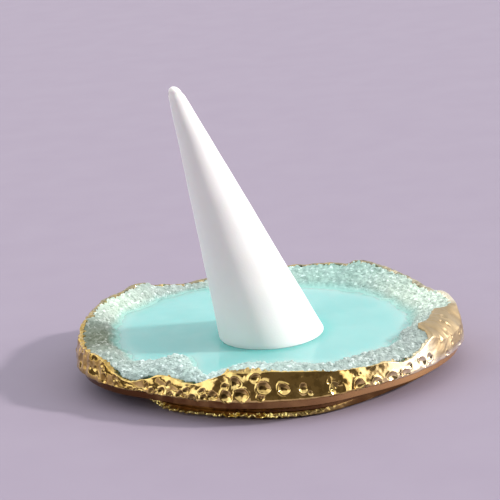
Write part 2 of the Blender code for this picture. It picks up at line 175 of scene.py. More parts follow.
# How far the rim leans in over its widest, every 30 degrees
RIM_LEANS = (0.9, 1.5, 1.6, 1.8, 1.8, 1.4, 1.4, 1.9, 2.8, 3.0, 2.6, 1.5)
RIM_LEAN_POWER = 1.2
CREASE_TUCK = 1.3
LIP_WIDTH = 0.9
LIP_ROUND = 0.3
LIP_NOTCH = 0.5
WRAP_RISE = 1.0
LEAST_STEP = 0.05
LIP_SHARES = (
    1.10, 1.20, 0.85, 0.92, 1.17, 1.33, 1.42, 1.60, 1.00, 1.05, 0.93, 0.87,
    0.83, 0.80, 0.73, 0.63, 0.58, 0.88, 1.48, 1.20, 1.25, 1.10, 1.10, 1.13,
    0.80, 0.67, 0.73, 0.67, -0.03, -0.80, -0.47, -0.07, -0.40, -0.13, 0.73, 0.90,
    0.93, 0.80, 0.63, 0.30, 0.10, 0.07, -0.23, 0.47, 0.93, 1.07, 1.10, 1.10,
)
LIP_NOTCHES = ((23, 40.0), (31, 140.0), (47, 265.0))
# How far the gilding creeps up over the crust in mm, or stops short where it is negative, every 7.5 degrees
CREEP = (0.0,) * 27 + (
    0.2, 0.4, 0.9, 1.3, 1.1, 1.0, 1.1, 0.4, 0.0, 0.0, 0.1, 0.2, 0.5, 0.6, 0.6, 0.5, -0.2, 0.5, 0.0, 0.0, 0.0,
)
FOLD_CENTRE_ANGLES = (261.0, 341.2)
FOLD_HALF_ANGLES = (10.0, 15.0)
FOLD_WIDTHS = (1.0, 5.2)
FOLD_DROPS = (-0.4, -0.5)
# How much further down each fold's rounding starts
FOLD_ROUNDS = (0.0, 2.6)
FOLD_BULGE = 0.5


def slab_radius(angle):
    """Radius of the slab's upright side, which the rim stands round."""
    return outline(angle) - CREASE_TUCK - SKIRT_SETBACK - SKIN - CLEARANCE


def lip_height(angle):
    """Height of the gilt lip, before its small notches."""
    return PLATE_HEIGHT + RIM_RISE * wave(LIP_SHARES, angle)


def crept_lip(angle):
    """Height of the lip where the gilding has crept up over the crust."""
    return lip_height(angle) + wave(CREEP, angle)


def lip_notches(angle):
    """How far the ragged lip drops: half its depth, less the mean of three cosine waves."""
    total = sum(np.cos(np.radians(count * angle + start)) for count, start in LIP_NOTCHES)
    return LIP_NOTCH * (0.5 - 0.5 * total / len(LIP_NOTCHES))


def band_radius(angle, height):
    """Outer radius of the rim: tucked in at the crease by a square, leaning in higher up by a power."""
    above = np.maximum(height - RIM_WIDEST_HEIGHT, 0.0) / (PLATE_HEIGHT + RIM_RISE - RIM_WIDEST_HEIGHT)
    below = np.maximum(RIM_WIDEST_HEIGHT - height, 0.0) / (RIM_WIDEST_HEIGHT - CREASE_HEIGHT)
    return outline(angle) - wave(RIM_LEANS, angle) * above**RIM_LEAN_POWER - CREASE_TUCK * below**2


def over_folds(angle, plain, amounts):
    """A plain value all round, with each fold's own amount added where that fold is."""
    total = np.full(np.shape(angle), float(plain))
    for centre, half, amount in zip(FOLD_CENTRE_ANGLES, FOLD_HALF_ANGLES, amounts):
        total = total + amount * ramp(2.0 - 2.0 * np.abs(turn_between(angle, centre)) / half)
    return total


def rim_wall_radius(angle):
    """Inner radius of the rim over the plate. A fold that would lie under the plate stops at the slab."""
    beside_slab = slab_radius(angle) + CLEARANCE
    over_slab = band_radius(angle, lip_height(angle)) - over_folds(angle, LIP_WIDTH, FOLD_WIDTHS)
    lowest = lip_height(angle) - LIP_NOTCH - over_folds(angle, LIP_ROUND, FOLD_DROPS)
    wrap = ramp((lowest - PLATE_HEIGHT - CLEARANCE) / WRAP_RISE)
    return np.minimum(beside_slab + wrap * (over_slab - beside_slab), beside_slab - LEAST_STEP)


lips = lip_height(every_degree)
print("lip height in mm:", lips.min().round(2), "to", lips.max().round(2))

# %% [markdown]
# ## From arrays to meshes
#
# Every skin below is a grid of points worked out as one array. Neighbouring points make a quad, a grid that
# goes right round is joined to its own start, and a row of equal points closes a pole once doubles are
# merged. Feeding whole arrays to the mesh is far quicker than adding points one at a time.

# %% Grid faces, mesh maker and soft noise
SMOOTH_ANGLE = 60.0
WELD_DISTANCE = 1e-7
RIPPLE_WAVES = 24
RIPPLE_LENGTHS = (0.7, 1.5)


def grid_faces(rows, columns, joined_rows=False):
    """Quads between neighbouring points of a grid, each row joined to its own start."""
    index = np.arange(rows * columns).reshape(rows, columns)
    if joined_rows:
        index = np.vstack([index, index[:1]])
    index = np.hstack([index, index[:, :1]])
    corners = (index[:-1, :-1], index[:-1, 1:], index[1:, 1:], index[1:, :-1])
    return np.stack(corners, axis=-1).reshape(-1, 4)


def new_mesh(name, points, *face_groups):
    """Mesh of points in millimetres and of groups of faces, each an array with a column for each corner."""
    loops = np.concatenate([group.ravel() for group in face_groups])
    corners = np.concatenate([np.full(len(group), group.shape[1]) for group in face_groups])
    mesh = bpy.data.meshes.new(name)
    mesh.vertices.add(len(points))
    mesh.vertices.foreach_set("co", (points * MM).astype(np.float32).ravel())
    mesh.loops.add(len(loops))
    mesh.loops.foreach_set("vertex_index", loops.astype(np.int32))
    mesh.polygons.add(len(corners))
    mesh.polygons.foreach_set("loop_start", np.cumsum(corners) - corners)
    mesh.update(calc_edges=True)
    return mesh


def close_up(mesh):
    """Merges equal points, so that seams and poles are closed, and turns all faces outwards."""
    shape = bmesh.new()
    shape.from_mesh(mesh)
    bmesh.ops.remove_doubles(shape, verts=shape.verts, dist=WELD_DISTANCE)
    bmesh.ops.recalc_face_normals(shape, faces=shape.faces)
    shape.to_mesh(mesh)
    shape.free()


def keep_in_box(points):
    """The points, none of them outside the CAD box."""
    return np.clip(points, box_low, box_high)


def link_new(name, data):
    """A new object, linked to the scene."""
    thing = bpy.data.objects.new(name, data)
    bpy.context.scene.collection.objects.link(thing)
    return thing


def paint_values(mesh, name, values):
    """Stores one number for each point, for a material to read."""
    layer = mesh.attributes.new(name, "FLOAT", "POINT")
    layer.data.foreach_set("value", values.astype(np.float32).ravel())


def add_piece(name, mesh, slot, *nodes):
    """Adds a finished mesh as a piece that rides on the body and stands for those CAD nodes."""
    piece = link_new(name, mesh)
    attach(piece, "root")
    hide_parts(*nodes)
    faces = len(mesh.loops) - 2 * len(mesh.polygons)
    print(f"{name}: {faces} triangles")
    return piece


def add_skin(name, points, slot, node, joined_rows=False, **values):
    """Adds a grid of points as a closed smooth piece, which carries the named values at its points."""
    mesh = new_mesh(name, points.reshape(-1, 3), grid_faces(*points.shape[:2], joined_rows))
    for key, amounts in values.items():
        paint_values(mesh, key, np.broadcast_to(amounts, points.shape[:2]))
    close_up(mesh)
    mesh.shade_smooth()
    mesh.set_sharp_from_angle(angle=math.radians(SMOOTH_ANGLE))
    return add_piece(name, mesh, slot, node)


def ripples(points, wavelength, seed):
    """Soft noise of about unit size: the sum of sine waves of like length that run in random directions."""
    random = np.random.default_rng(seed)
    heading = random.normal(size=(3, RIPPLE_WAVES))
    lengths = wavelength * random.uniform(*RIPPLE_LENGTHS, RIPPLE_WAVES)
    heading *= 2 * np.pi / (lengths * np.linalg.norm(heading, axis=0))
    phase = random.uniform(0.0, 2 * np.pi, RIPPLE_WAVES)
    return np.sin(points @ heading + phase).sum(axis=-1) / math.sqrt(0.5 * RIPPLE_WAVES)


def edge_ripples(angle, wavelength, seed):
    """Soft noise along the slice's edge, which closes on itself because it is read on a circle."""
    return ripples(at_angle(angle, TRAY_RADIUS, 0.0), wavelength, seed)


def unit(vectors):
    """The vectors, each divided by its own length."""
    return vectors / np.maximum(np.linalg.norm(vectors, axis=-1, keepdims=True), 1e-12)


def side_normals(points):
    """Unit normals of a grid whose rows lie round the slice: the cross product of steps along and across."""
    along = np.roll(points, -1, axis=0) - np.roll(points, 1, axis=0)
    return unit(np.cross(along, np.gradient(points, axis=1)))


# %% [markdown]
# ## The hammered gilt rim
#
# On the real dish the raw resin edge is lumpy, and a mirror-bright gilding makes each lump show. Its marks
# are small craters: a bowl with a raised ring round it, as if a round punch had been pressed into wax. A
# displacement texture or a sculpted brush could make them. Here each mark is a formula, placed by its angle
# and its height on the band, because the marks that the photograph shows can then be put where they are.
#
# The skin is one strip that climbs the band from the crease, turns over the lip and runs in across the
# fold. The marks are pressed along the strip's own normals, so they follow it over the lip.

# %% Hammer marks
MARK_RADIUS = 1.0
MARK_DEPTH = 0.40
RING_HEIGHT = 0.26
RING_PLACE_SHARE = 1.08
RING_WIDTH_SHARE = 0.20
RING_UNEVEN = 0.6
WARPS = ((2, 0.08), (3, 0.05), (5, 0.03))
WARP_SEED = 9
# Where painted shade darkens each mark: up and to the left of its middle
UNDER_UP = 0.75
UNDER_ACROSS = 0.65
UNDER_START = 0.1
UNDER_SPAN = 0.5
BOWL_EDGE = 0.3
# Angle, share of the band's height, share of MARK_RADIUS and share of MARK_DEPTH
MARK_SHARES = (
    (192.8, 0.68, 1.7, 0.8), (202.5, 0.70, 0.7, 0.8), (207.8, 0.58, 1.2, 1.2), (213.2, 0.72, 0.8, 0.9),
    (217.0, 0.66, 0.6, 0.7), (222.0, 0.50, 0.6, 0.6), (227.0, 0.58, 0.9, 0.9), (230.8, 0.62, 0.9, 1.1),
    (234.2, 0.45, 1.0, 0.4), (238.2, 0.66, 1.1, 1.1), (242.8, 0.50, 1.2, 1.2), (247.2, 0.53, 0.9, 0.9),
    (250.4, 0.58, 1.1, 1.1), (254.9, 0.42, 1.4, 1.4), (254.6, 0.78, 0.8, 0.8), (258.0, 0.85, 1.4, 1.4),
    (260.0, 0.45, 1.6, 1.6), (264.6, 0.98, 1.2, 1.2), (267.3, 0.66, 1.5, 1.5), (266.0, 0.30, 0.8, 0.7),
    (258.5, 0.08, 0.7, 0.7), (273.5, 0.60, 1.3, 1.3), (279.5, 0.62, 1.1, 1.0), (281.5, 0.42, 0.6, 0.6),
    (276.0, 0.12, 0.5, 0.6), (289.8, 0.48, 1.8, 0.6), (297.2, 0.50, 1.4, 1.3), (299.5, 0.28, 0.8, 0.8),
    (303.2, 0.50, 1.0, 0.9), (308.5, 0.55, 1.2, 1.2), (313.2, 0.60, 1.2, 1.2), (320.5, 0.66, 1.2, 1.2),
    (323.8, 0.60, 0.9, 1.0), (332.2, 0.25, 1.0, 0.9), (336.2, 0.98, 1.0, 0.5), (331.2, 0.90, 0.8, 0.5),
    (341.0, 0.25, 0.9, 0.7), (345.0, 0.60, 1.2, 0.5), (354.0, 0.60, 1.3, 0.8),
    (206.0, 1.10, 0.7, 0.7), (212.5, 1.12, 0.9, 0.8), (218.5, 1.00, 0.7, 0.7), (224.5, 1.10, 0.8, 0.7),
    (233.5, 1.08, 0.9, 0.8), (240.5, 1.10, 0.8, 0.7), (246.5, 1.00, 0.8, 0.7), (343.5, 1.38, 1.0, 0.9),
    (339.5, 1.30, 0.6, 0.7), (340.0, 1.08, 0.7, 0.7), (348.0, 1.20, 0.8, 0.5), (315.5, 1.02, 0.7, 0.7),
)
BACK_MARK_COUNT = 28
BACK_MARK_ANGLES = (0.0, 168.0)
BACK_MARK_SHARES = ((0.34, 1.5, 1.0), (0.70, 1.3, 1.2), (0.50, 1.7, 1.1))
PIT_COUNT = 110
PIT_RADII = (0.25, 0.6)
PIT_PLACES = (0.05, 1.1)
PIT_DEPTH_SHARE = 0.35
PIT_SEED = 5


def hammer_marks():
    """Every mark as angle, climb along the strip, radius and depth: those seen, the back's rows and pits."""
    marks = list(MARK_SHARES)
    start, end = BACK_MARK_ANGLES
    for number in range(BACK_MARK_COUNT):
        row = BACK_MARK_SHARES[number % len(BACK_MARK_SHARES)]
        marks.append((start + (end - start) * (number + 0.5) / BACK_MARK_COUNT, *row))
    centre, place, wide, deep = np.array(marks).T
    random = np.random.default_rng(PIT_SEED)
    pit_angle = random.uniform(0.0, 360.0, PIT_COUNT)
    pit_radius = random.uniform(*PIT_RADII, PIT_COUNT)
    pit_place = random.uniform(*PIT_PLACES, PIT_COUNT)
    centre = np.concatenate([centre, pit_angle])
    climb = np.concatenate([place, pit_place]) * (lip_height(centre) - CREASE_HEIGHT)
    radius = np.concatenate([wide * MARK_RADIUS, pit_radius])
    depth = np.concatenate([deep * MARK_DEPTH, PIT_DEPTH_SHARE * pit_radius])
    return np.stack([centre, climb, radius, depth], axis=1)


def mark_depth(angle, climb):
    """Depth of the hammered face, and how much painted shade each point gets under a mark's upper edge.

    With reach as the distance from a mark's middle in shares of its radius, the bowl is one less the square
    of reach, and the ring is a bell curve just outside it. A few cosines of the direction round the mark
    make its radius and its ring uneven.
    """
    random = np.random.default_rng(WARP_SEED)
    depth = np.zeros(np.broadcast(angle, climb).shape)
    under = np.zeros_like(depth)
    for centre, middle, radius, deep in hammer_marks():
        across = np.radians(turn_between(angle, centre)) * outline(centre)
        around = np.arctan2(climb - middle, across)
        uneven = sum(size * np.cos(lobes * around + random.uniform(0.0, 2 * np.pi)) for lobes, size in WARPS)
        thick = 1.0 + RING_UNEVEN * np.cos(around + random.uniform(0.0, 2 * np.pi))
        reach = np.hypot(across, climb - middle) / radius * (1.0 + uneven)
        above = (UNDER_UP * (climb - middle) - UNDER_ACROSS * across) / radius
        bowl = np.maximum(1.0 - reach**2, 0.0)
        ring = bell(reach - RING_PLACE_SHARE, RING_WIDTH_SHARE)
        depth += deep * (bowl - RING_HEIGHT * thick * ring)
        # Painted shade: the upper part of each bowl is darkened in the colour
        under = np.maximum(under, ramp(bowl / BOWL_EDGE) * ramp((above + UNDER_START) / UNDER_SPAN))
    return depth, under


print("hammer marks:", len(hammer_marks()))

# %% The strip from the crease over the lip
RIM_COLUMNS = 1440
BAND_STEPS = 32
FOLD_STEPS = 22
LIP_CREST_LIFT = 0.25
FOLD_EDGE_LIFT = 0.3
# Share of the notches at the front, what the worn back adds to it, and what a broad fold takes from them
NOTCH_SHARES = (0.85, 0.35, 0.8)
# Where the middle points of the curve over the lip lie in shares of its width, and what a broad fold adds
NEAR_POINT = (0.08, 0.27)
FAR_POINT = (0.95, -0.2)
# Height of the soft lumps every 30 degrees
LUMP_HEIGHTS = (0.08, 0.10, 0.10, 0.12, 0.12, 0.14, 0.14, 0.14, 0.11, 0.06, 0.06, 0.07)
LUMP_LENGTH = 3.8
DENT_HEIGHT = 0.011
DENT_LENGTH = 1.2
FRAY = 0.24
FRAY_CALM = 0.7
FRAY_LENGTH = 1.1
DULL_FROM_HEIGHT = 5.6
BEAD_CLIMB = 0.45
BEAD_WIDTH = 0.35
BEAD_HEIGHT = 0.13
# Climb over which the marks fade in
MARK_FADE = 0.8
# Height over which the broad patch turns dull, and how far it is dull in half angles of its fold
DULL_FADE = 1.5
DULL_REACH = 1.3
# Sine of the angle at which wear starts, less than 0, and the sine's span from no wear to full wear
WORN_START = -0.05
WORN_SPAN = 0.5


def worn(angle):
    """How far the gilding is worn, 1 at the back and 0 at the front: a ramp of the sine of the angle."""
    return ramp((np.sin(np.radians(angle)) - WORN_START) / WORN_SPAN)


def bezier(share, first, second, third, last):
    """Cubic Bezier: the four values weighted by the terms of (share + (1 - share)) cubed."""
    rest = 1 - share
    return rest**3 * first + 3 * rest**2 * share * second + 3 * rest * share**2 * third + share**3 * last


def rim_strip(angle):
    """Radius and height of the strip at each angle (rows) and step (columns), frayed at its inner edge."""
    lip = crept_lip(angle)
    shoulder = lip - over_folds(angle, LIP_ROUND, FOLD_ROUNDS)
    height = CREASE_HEIGHT + np.linspace(0.0, 1.0, BAND_STEPS) * (shoulder - CREASE_HEIGHT)
    radius = band_radius(angle, height)
    outer = band_radius(angle, shoulder)
    wall = rim_wall_radius(angle)
    broad = ramp((outer - wall - 2 * LIP_WIDTH) / LIP_WIDTH)
    plain, back, calm = NOTCH_SHARES
    crest = lip - (plain + back * worn(angle)) * lip_notches(angle) * (1 - calm * broad)
    wall = np.minimum(wall, outer - 0.5 * LIP_WIDTH)
    width = outer - wall
    inner = crest - over_folds(angle, LIP_ROUND, FOLD_DROPS)
    share = np.linspace(0.0, 1.0, FOLD_STEPS + 1)[1:]
    near, far = (outer - (first + more * broad) * width for first, more in (NEAR_POINT, FAR_POINT))
    over_radius = bezier(share, outer, near, far, wall)
    edge = inner + FOLD_EDGE_LIFT + FOLD_BULGE * broad
    over_height = bezier(share, shoulder, crest + LIP_CREST_LIFT, edge, inner)
    over_radius = over_radius + FRAY * edge_ripples(angle, FRAY_LENGTH, 32) * share**6
    ragged = FRAY * edge_ripples(angle, FRAY_LENGTH, 31) * share**2
    over_height = over_height + ragged * (1 - FRAY_CALM * broad)
    return np.hstack([radius, over_radius]), np.hstack([height, over_height])


def rim_points():
    """The rim as closed loops, one for each angle, and the painted shade under each mark's upper edge."""
    angle = all_round(RIM_COLUMNS)
    radius, height = rim_strip(angle)
    step = np.hypot(np.diff(radius, axis=1), np.diff(height, axis=1))
    climb = np.hstack([np.zeros_like(angle), np.cumsum(step, axis=1)])
    strip = at_angle(angle, radius, height)
    normal = side_normals(strip)
    depth, under = mark_depth(angle, climb)
    swell = wave(LUMP_HEIGHTS, angle) * ripples(strip, LUMP_LENGTH, 11)
    swell = swell + DENT_HEIGHT * ripples(strip, DENT_LENGTH, 12)
    start = ramp(climb / MARK_FADE)
    bead = BEAD_HEIGHT * bell(climb - BEAD_CLIMB, BEAD_WIDTH)
    strip = strip + normal * ((swell - depth) * start + bead)[..., None]
    slab_side = slab_radius(angle) + CLEARANCE
    shelf = np.minimum(PLATE_HEIGHT, height[:, -1:] - LEAST_STEP)
    inner = [(radius[:, -1:], shelf), (slab_side, shelf), (slab_side, np.full_like(angle, CREASE_HEIGHT))]
    hidden = np.concatenate([at_angle(angle, *point) for point in inner], axis=1)
    under = np.hstack([under, np.zeros((RIM_COLUMNS, len(inner)))])
    return keep_in_box(np.concatenate([strip, hidden], axis=1)), under


points, painted_mark_shade = rim_points()
turns = all_round(RIM_COLUMNS)
away = np.abs(turn_between(turns, FOLD_CENTRE_ANGLES[1])) / FOLD_HALF_ANGLES[1]
dull = ramp(2.0 * (DULL_REACH - away)) * ramp((points[..., 2] - DULL_FROM_HEIGHT) / DULL_FADE)
carried = {"painted_mark_shade": painted_mark_shade, "worn": worn(turns), "dull": dull}
rim = add_skin("hammered_rim", points, "gilt", "gilt_rim", True, **carried)

# %% [markdown]
# ## The gilt skirt
#
# Under the crease the gilding is smooth. It curves in to a narrow foot, where the gold has run and dried in
# a rough bright bead. A lathe would make the curve on a round dish; here the profile is carried round the
# wandering outline, and the bead at its foot is a half circle with soft noise on its radius.

# %% Cove and foot bead
SKIRT_COLUMNS = 900
COVE_STEPS = 20
BEAD_STEPS = 9
SKIRT_DROP = 1.4
FOOT_LIFT = 0.4
FOOT_HEIGHT = 1.3
FOOT_BULGE = 0.8
# How much of the bead there is, every 15 degrees
BEAD_SHARES = (0.0,) * 14 + (0.2, 1.4, 1.6, 1.4, 0.9, 0.4) + (0.0,) * 4
BEAD_TILT = 0.3
BEAD_LUMP = 0.28
BEAD_LUMP_LENGTH = 1.0
FOOT_SHARES = (
    0.91, 0.89, 0.86, 0.83, 0.81, 0.80, 0.80, 0.80, 0.80, 0.77, 0.72, 0.66,
    0.63, 0.66, 0.78, 0.875, 0.897, 0.895, 0.919, 0.922, 0.905, 0.865, 0.872, 0.900,
)


def cove_point(angle, share):
    """Skirt's outer curve: a quarter of an ellipse from under the rim (share 0) to the foot (share 1)."""
    top_radius = outline(angle) - CREASE_TUCK - SKIRT_SETBACK
    foot_radius = outline(angle) * wave(FOOT_SHARES, angle)
    top = CREASE_HEIGHT - CLEARANCE - SKIRT_DROP
    foot = FOOT_LIFT + FOOT_HEIGHT
    quarter = 0.5 * np.pi * share
    radius = foot_radius + (top_radius - foot_radius) * (1 - np.sin(quarter))
    return radius, np.broadcast_to(foot + (top - foot) * np.cos(quarter), radius.shape)


def skirt_points():
    """Closed loops round the skirt: down its outside, round the bead, and back up its inside."""
    angle = all_round(SKIRT_COLUMNS)
    share = np.linspace(0.0, 1.0, COVE_STEPS)
    radius, height = cove_point(angle, share)
    top_radius = radius[:, :1]
    foot_radius = radius[:, -1:]
    turn = np.linspace(0.5 * np.pi, -0.5 * np.pi, BEAD_STEPS)
    bead_height = FOOT_LIFT + 0.5 * FOOT_HEIGHT * (1 + np.sin(turn))
    around = at_angle(angle, foot_radius, bead_height)
    lump = 1.0 + BEAD_LUMP / FOOT_BULGE * ripples(around, BEAD_LUMP_LENGTH, 21)
    bead_radius = foot_radius + FOOT_BULGE * wave(BEAD_SHARES, angle) * np.cos(turn + BEAD_TILT) * lump
    bottom = np.full_like(angle, FOOT_LIFT)
    top = np.full_like(angle, CREASE_HEIGHT)
    inner_radius = radius[:, ::-1] - SKIN
    inner_height = np.minimum(height[:, ::-1] + SKIN, CREASE_HEIGHT - LEAST_STEP)
    radii = [top_radius, radius, bead_radius, foot_radius - SKIN, inner_radius, top_radius - SKIN]
    heights = [top, height, np.broadcast_to(bead_height, bead_radius.shape), bottom, inner_height, top]
    gold = np.zeros((SKIRT_COLUMNS, sum(part.shape[1] for part in heights)))
    shown = ramp(np.cos(turn + BEAD_TILT) / 0.25) * np.clip(wave(BEAD_SHARES, angle), 0.0, 1.0)
    gold[:, COVE_STEPS + 1 : COVE_STEPS + 1 + BEAD_STEPS] = shown
    return keep_in_box(at_angle(angle, np.hstack(radii), np.hstack(heights))), gold


points, bead = skirt_points()
skirt = add_skin("gilt_cove", points, "gilt", "gilt_skirt", True, bead=bead)

# %% [markdown]
# ## The aqua slab
#
# The plate is cast resin, poured level and left glossy. Poured resin is never quite flat: it holds a faint
# swell, and it climbs a little where it wets a neighbour. Both matter for a gloss surface, because they
# bend what it mirrors. The slab is a set of rings from the middle of the plate, over its edge and under to
# the middle again.

# %% Rings of the slab
SLAB_COLUMNS = 360
PLATE_RINGS = 110
SWELL_HEIGHT = 0.012
SWELL_LENGTH = 16.0
CONE_BASE_RADIUS = 12.7
BUMPER_HEIGHT = 1.0
MENISCUS_RISE = 0.16
MENISCUS_REACH = 0.7
CONE_SHADE_REACH = 2.2


def from_cone(points):
    """Distance of each point from the side of the cone's foot, less than 0 under the cone."""
    centre = slice_centre + np.array(CONE_CENTRE)
    return np.hypot(points[..., 0] - centre[0], points[..., 1] - centre[1]) - CONE_BASE_RADIUS


def plate_height(points):
    """Height of the plate: level, with a faint swell, and a climb by the cone that is half a bell curve."""
    climb = MENISCUS_RISE * bell(np.maximum(from_cone(points), 0.0), MENISCUS_REACH)
    return PLATE_HEIGHT + SWELL_HEIGHT * ripples(points, SWELL_LENGTH, 41) + climb


def slab_points():
    """Rings of the slab, the first and the last of them a single point."""
    angle = all_round(SLAB_COLUMNS).T
    side = slab_radius(angle)
    flat = at_angle(angle, side * np.linspace(0.0, 1.0, PLATE_RINGS)[:, None], 0.0)
    flat[..., 2] = plate_height(flat)
    inset = SKIN + CLEARANCE
    rings = [(side, np.full_like(side, CREASE_HEIGHT))]
    for share in np.linspace(0.15, 1.0, 8):
        radius, height = cove_point(angle, share)
        rings.append((radius - inset, np.minimum(height + inset, CREASE_HEIGHT - LEAST_STEP)))
    foot = rings[-1][0]
    rings += [(foot * share, np.full_like(side, BUMPER_HEIGHT)) for share in (1.0, 0.5, 0.0)]
    under = np.stack([at_angle(angle[0], radius[0], height[0]) for radius, height in rings])
    return np.concatenate([flat, under])


points = slab_points()
# Painted contact shade round the cone's foot: how near each point lies to it
near_cone = bell(from_cone(points), CONE_SHADE_REACH)
slab = add_skin("aqua_slab", points, "aqua_resin", "resin_slab", near_cone=near_cone)

# %% [markdown]
# ## The druzy crust
#
# Round the plate lies a crust of crystals, thick at the rim and thinning to grains where it meets the
# plate. The real one is many chips set in clear resin. One rough skin would look like frost, and loose
# crystals alone would leave holes, so both are used: a lumpy bed, and on it some thousands of small
# crystals. Each cluster of the construction gets its own bed and crystals, which keeps the ten pieces as
# they are.

# %% The bed
# Inner edge of the crust every 5 degrees, as a share of TRAY_RADIUS
CRUST_EDGE_SHARES = (
    0.760, 0.755, 0.749, 0.742, 0.736, 0.732, 0.727, 0.720, 0.711, 0.698, 0.687, 0.685,
    0.687, 0.686, 0.689, 0.703, 0.722, 0.744, 0.767, 0.790, 0.811, 0.826, 0.840, 0.857,
    0.871, 0.875, 0.873, 0.863, 0.858, 0.877, 0.893, 0.877, 0.853, 0.836, 0.822, 0.809,
    0.800, 0.797, 0.793, 0.781, 0.764, 0.778, 0.765, 0.665, 0.560, 0.560, 0.602, 0.665,
    0.725, 0.770, 0.650, 0.580, 0.544, 0.553, 0.573, 0.574, 0.582, 0.625, 0.673, 0.707,
    0.729, 0.729, 0.727, 0.749, 0.769, 0.764, 0.756, 0.763, 0.771, 0.774, 0.773, 0.767,
)
# How far the crust bulges over a straight slope, every 7.5 degrees, as a share of CRUST_CROWN
CRUST_CROWN = 3.0
CROWN_SHARES = (
    0.17, 0.17, 0.17, 0.13, 0.10, 0.10, 0.10, 0.10, 0.10, 0.10, 0.10, 0.10,
    0.10, 0.10, 0.10, 0.10, 0.13, 0.13, 0.13, 0.13, 0.13, 0.16, 0.20, 0.20,
    0.27, 0.30, 0.30, 0.25, 0.15, 0.52, 0.76, 0.76, 0.54, 0.20, 0.15, 0.15,
    0.20, 0.20, 0.20, 0.20, 0.40, 0.40, 0.40, 0.35, 0.27, 0.25, 0.20, 0.18,
)
CRUST_OVERHANG = 1.1
CRUST_FADE = 1.0
CRUST_EDGE_HEIGHT = 0.1
EDGE_WANDER = 0.32
EDGE_WANDER_LENGTH = 5.0
# Part of the width over which the crust thins to its foot, and how much climb and lump are left there
FOOT_FADE = 0.4
FOOT_CLIMB = 0.3
FOOT_LUMP = 0.03
BED_LUMP = 0.17
BED_LUMP_LENGTH = 1.8
CLUSTERS = {
    "druzy_right": (350.0, 380.0),
    "druzy_back_right": (20.0, 70.0),
    "druzy_back": (70.0, 112.0),
    "druzy_back_left": (112.0, 166.0),
    "druzy_left": (166.0, 190.0),
    "druzy_left_front": (190.0, 210.0),
    "druzy_front_mound": (210.0, 248.0),
    "druzy_front": (248.0, 292.0),
    "druzy_front_right": (292.0, 322.0),
    "druzy_right_front": (322.0, 350.0),
}


def bed_ends(angle):
    """Outer and inner radius of the bed, and its height at the rim and at its foot."""
    lip = crept_lip(angle)
    hang = ramp((PLATE_HEIGHT - lip) / CRUST_FADE)
    outer = rim_wall_radius(angle) + 0.5 * CLEARANCE
    outer = outer + hang * (slab_radius(angle) + CLEARANCE + CRUST_OVERHANG - outer)
    foot = PLATE_HEIGHT - np.maximum(hang * (PLATE_HEIGHT - lip - LEAST_STEP), 2 * LEAST_STEP)
    wander = EDGE_WANDER * edge_ripples(angle, EDGE_WANDER_LENGTH, 51)
    inner = TRAY_RADIUS * wave(CRUST_EDGE_SHARES, angle) + wander
    shoulder = np.maximum(lip - CLEARANCE - lip_notches(angle), foot + CRUST_EDGE_HEIGHT)
    return outer, np.minimum(inner, outer - 1.0), shoulder, foot


def bed_point(angle, share):
    """Top of the bed from the rim (share 0) to the plate (share 1): a slope with a parabola on it."""
    outer, inner, shoulder, _ = bed_ends(angle)
    radius = outer + (inner - outer) * share
    slope = shoulder + (PLATE_HEIGHT + CRUST_EDGE_HEIGHT - shoulder) * share
    hump = CRUST_CROWN * wave(CROWN_SHARES, angle) * 4 * share * (1 - share)
    fade = ramp((1 - share) / FOOT_FADE)
    height = PLATE_HEIGHT + (slope + hump - PLATE_HEIGHT) * rising(FOOT_CLIMB, fade)
    flat = at_angle(angle, radius, height)
    lump = BED_LUMP * ripples(flat, BED_LUMP_LENGTH, 52) * rising(FOOT_LUMP, fade)
    beyond = ramp((radius - slab_radius(angle) - CLEARANCE) / CRUST_OVERHANG)
    lowest = PLATE_HEIGHT + 0.3 * LEAST_STEP - beyond * np.maximum(PLATE_HEIGHT - shoulder, 0.0)
    flat[..., 2] = np.maximum(flat[..., 2] + lump, lowest) - 1.2 * LEAST_STEP * share**16
    return flat


BED_STEP_ANGLE = 0.25
BED_ROWS = 30


def bed_loops(start, end):
    """Closed loops across one cluster: in over its top from rim to plate, then back under it."""
    angle = np.arange(start, end + 0.5 * BED_STEP_ANGLE, BED_STEP_ANGLE)[:, None]
    outer, inner, _, foot = bed_ends(angle)
    corner = np.minimum(slab_radius(angle) + CLEARANCE, outer - LEAST_STEP)
    under = np.full_like(angle, PLATE_HEIGHT - LEAST_STEP)
    share = np.linspace(0.0, 1.0, BED_ROWS)[None, :]
    below = [at_angle(angle, inner, under), at_angle(angle, corner, under)]
    below += [at_angle(angle, corner, foot), at_angle(angle, outer, foot)]
    loops = np.concatenate([bed_point(angle, share), *below], axis=1)
    share = np.concatenate([share, [[1.0, 0.0, 0.0, 0.0]]], axis=1)
    return loops, *np.broadcast_arrays(angle, share)


# %% [markdown]
# ### The crystals
#
# A quartz point is a six-sided prism with a six-sided tip. At this size it is a grain of half a millimetre,
# so 22 triangles are plenty for each. Its places are drawn at random over the bed, as many to each square
# millimetre everywhere, and each crystal leans a little off the bed's normal. All of them are made at once:
# the template's points are multiplied by one matrix for each crystal.

# %% One crystal and where they grow
CRYSTAL_SIDES = 6
CRYSTAL_GAP = 0.42
CRYSTAL_WIDTHS = (0.45, 0.95)
CRYSTAL_LENGTH_SHARES = (0.6, 1.2)
CRYSTAL_SQUASH = (0.6, 1.0)
# Degrees and share of the width by which the bed's slope is measured to each side
NORMAL_STEPS = (0.2, 0.02)
CRYSTAL_LEAN = 0.24
LEAST_UPWARD = 0.1
CRYSTAL_SEED = 77
# Parts of the width over which the crystals thin out and shrink towards the foot, and what is left there
SPARSE_SHARE = 0.25
SMALL_SHARE = 0.3
LEFT_AT_FOOT = 0.35
# Template of unit width: share of the foot ring, heights of both rings, and the tip
FOOT_RING_SHARE = 0.8
RING_HEIGHTS = (-0.6, 0.02)
TIP = (0.10, 0.06, 0.32)
